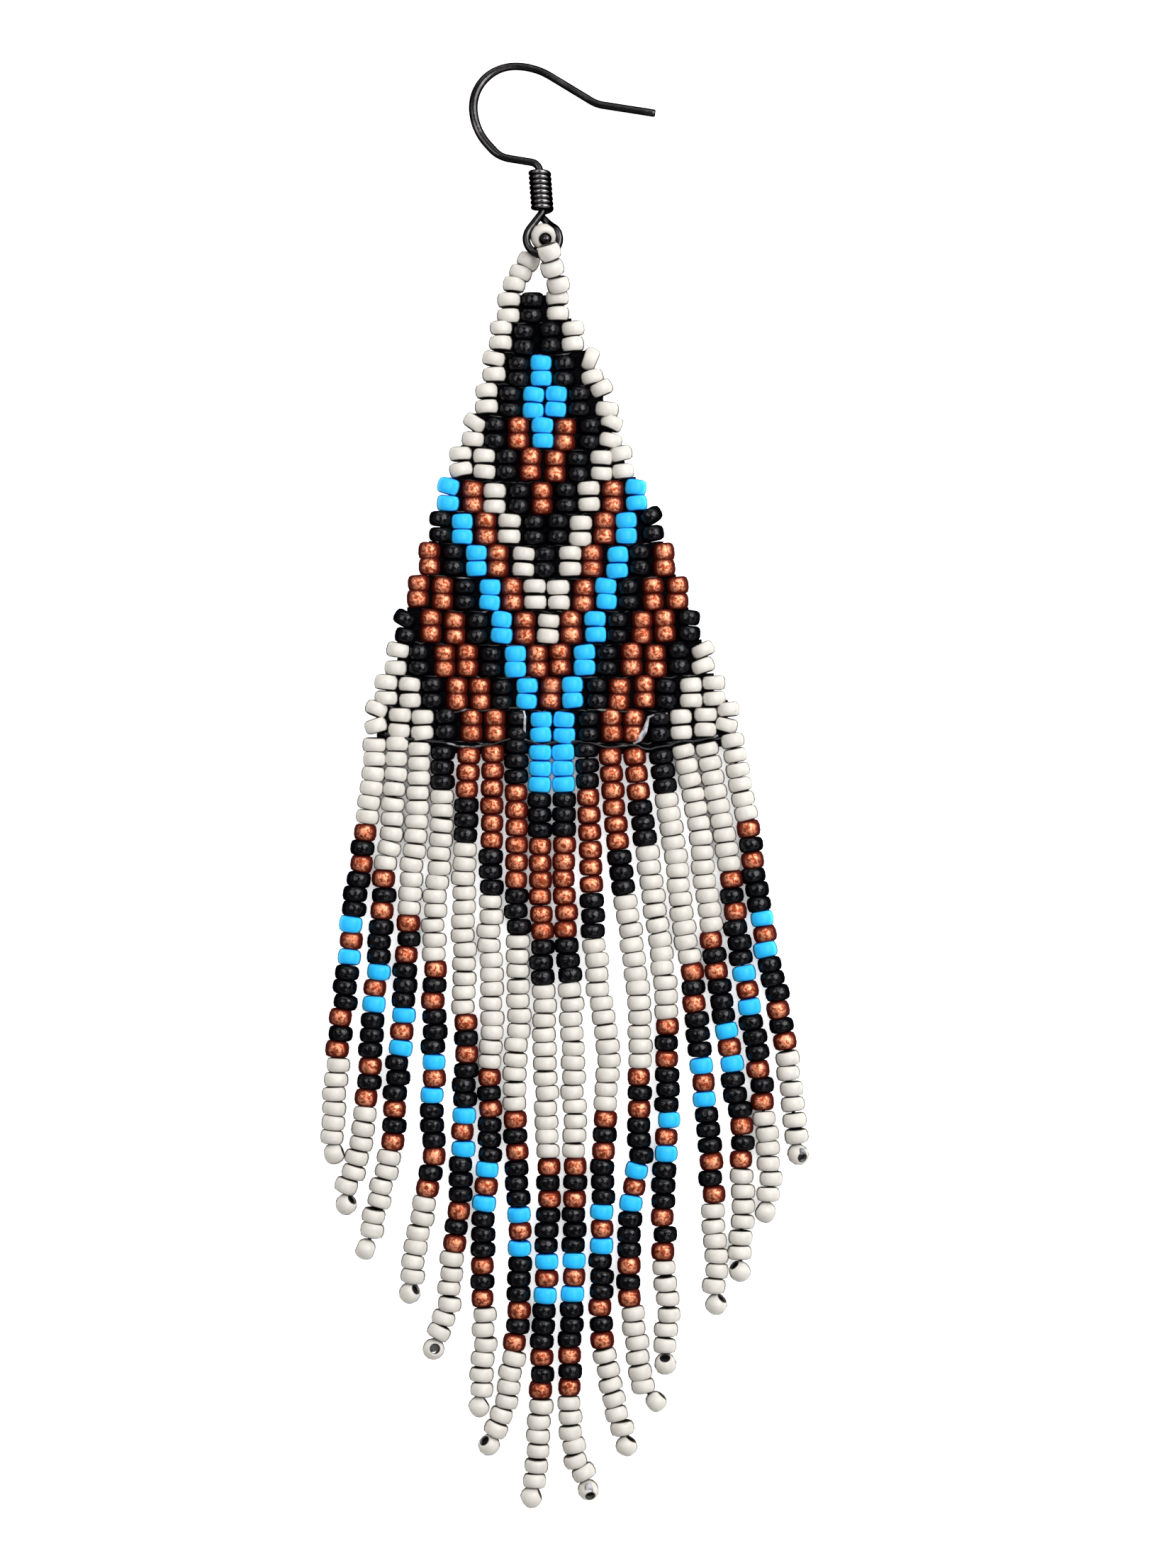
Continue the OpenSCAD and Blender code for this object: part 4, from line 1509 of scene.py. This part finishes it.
def aim_camera(studio):
    """A camera that looks straight down at the earring."""
    data = bpy.data.cameras.new("camera")
    data.lens = 85
    data.sensor_width = 36
    data.clip_start = 0.01
    data.clip_end = 10
    camera = bpy.data.objects.new("camera", data)
    camera.location = in_frame(VIEW_CENTRE) + UP * studio.camera_height
    bpy.context.scene.collection.objects.link(camera)
    bpy.context.scene.camera = camera


class EARRING_PT_tools(bpy.types.Panel):
    """The earring's pieces"""

    bl_idname = "EARRING_PT_tools"
    bl_label = "Beaded Fringe Earring"
    bl_space_type = "VIEW_3D"
    bl_region_type = "UI"
    bl_category = "Earring"

    def draw(self, context):
        for name in SETTINGS:
            group = getattr(context.scene, name)
            box = self.layout.box()
            for prop in group.bl_rna.properties.keys():
                if prop not in ("rna_type", "name"):
                    box.prop(group, prop)
        for operator in STEPS:
            self.layout.operator(operator.bl_idname)


SETTINGS = {
    "seed_beads": SeedBeads,
    "threads": Threads,
    "ear_wire": EarWire,
    "finishes": Finishes,
    "studio": Studio,
}
STEPS = [
    EARRING_OT_woven_panel,
    EARRING_OT_panel_thread,
    EARRING_OT_bead_strings,
    EARRING_OT_bead_loop,
    EARRING_OT_ear_wire,
    EARRING_OT_wire_coil,
    EARRING_OT_studio,
]


def register():
    """Registers the settings, operators and panel."""
    for cls in [*SETTINGS.values(), *STEPS, EARRING_PT_tools]:
        bpy.utils.register_class(cls)
    for name, cls in SETTINGS.items():
        setattr(bpy.types.Scene, name, PointerProperty(type=cls))


def unregister():
    """Takes the settings, operators and panel away."""
    for name in SETTINGS:
        delattr(bpy.types.Scene, name)
    for cls in reversed([*SETTINGS.values(), *STEPS, EARRING_PT_tools]):
        bpy.utils.unregister_class(cls)


def main():
    """Makes every piece and the stage."""
    register()
    for operator in STEPS:
        group, name = operator.bl_idname.split(".")
        getattr(getattr(bpy.ops, group), name)()
    shapes = bpy.data.collections[SHAPES]
    for shape in list(shapes.objects):
        bpy.data.objects.remove(shape)
    bpy.data.collections.remove(shapes)


if __name__ == "__main__":
    main()
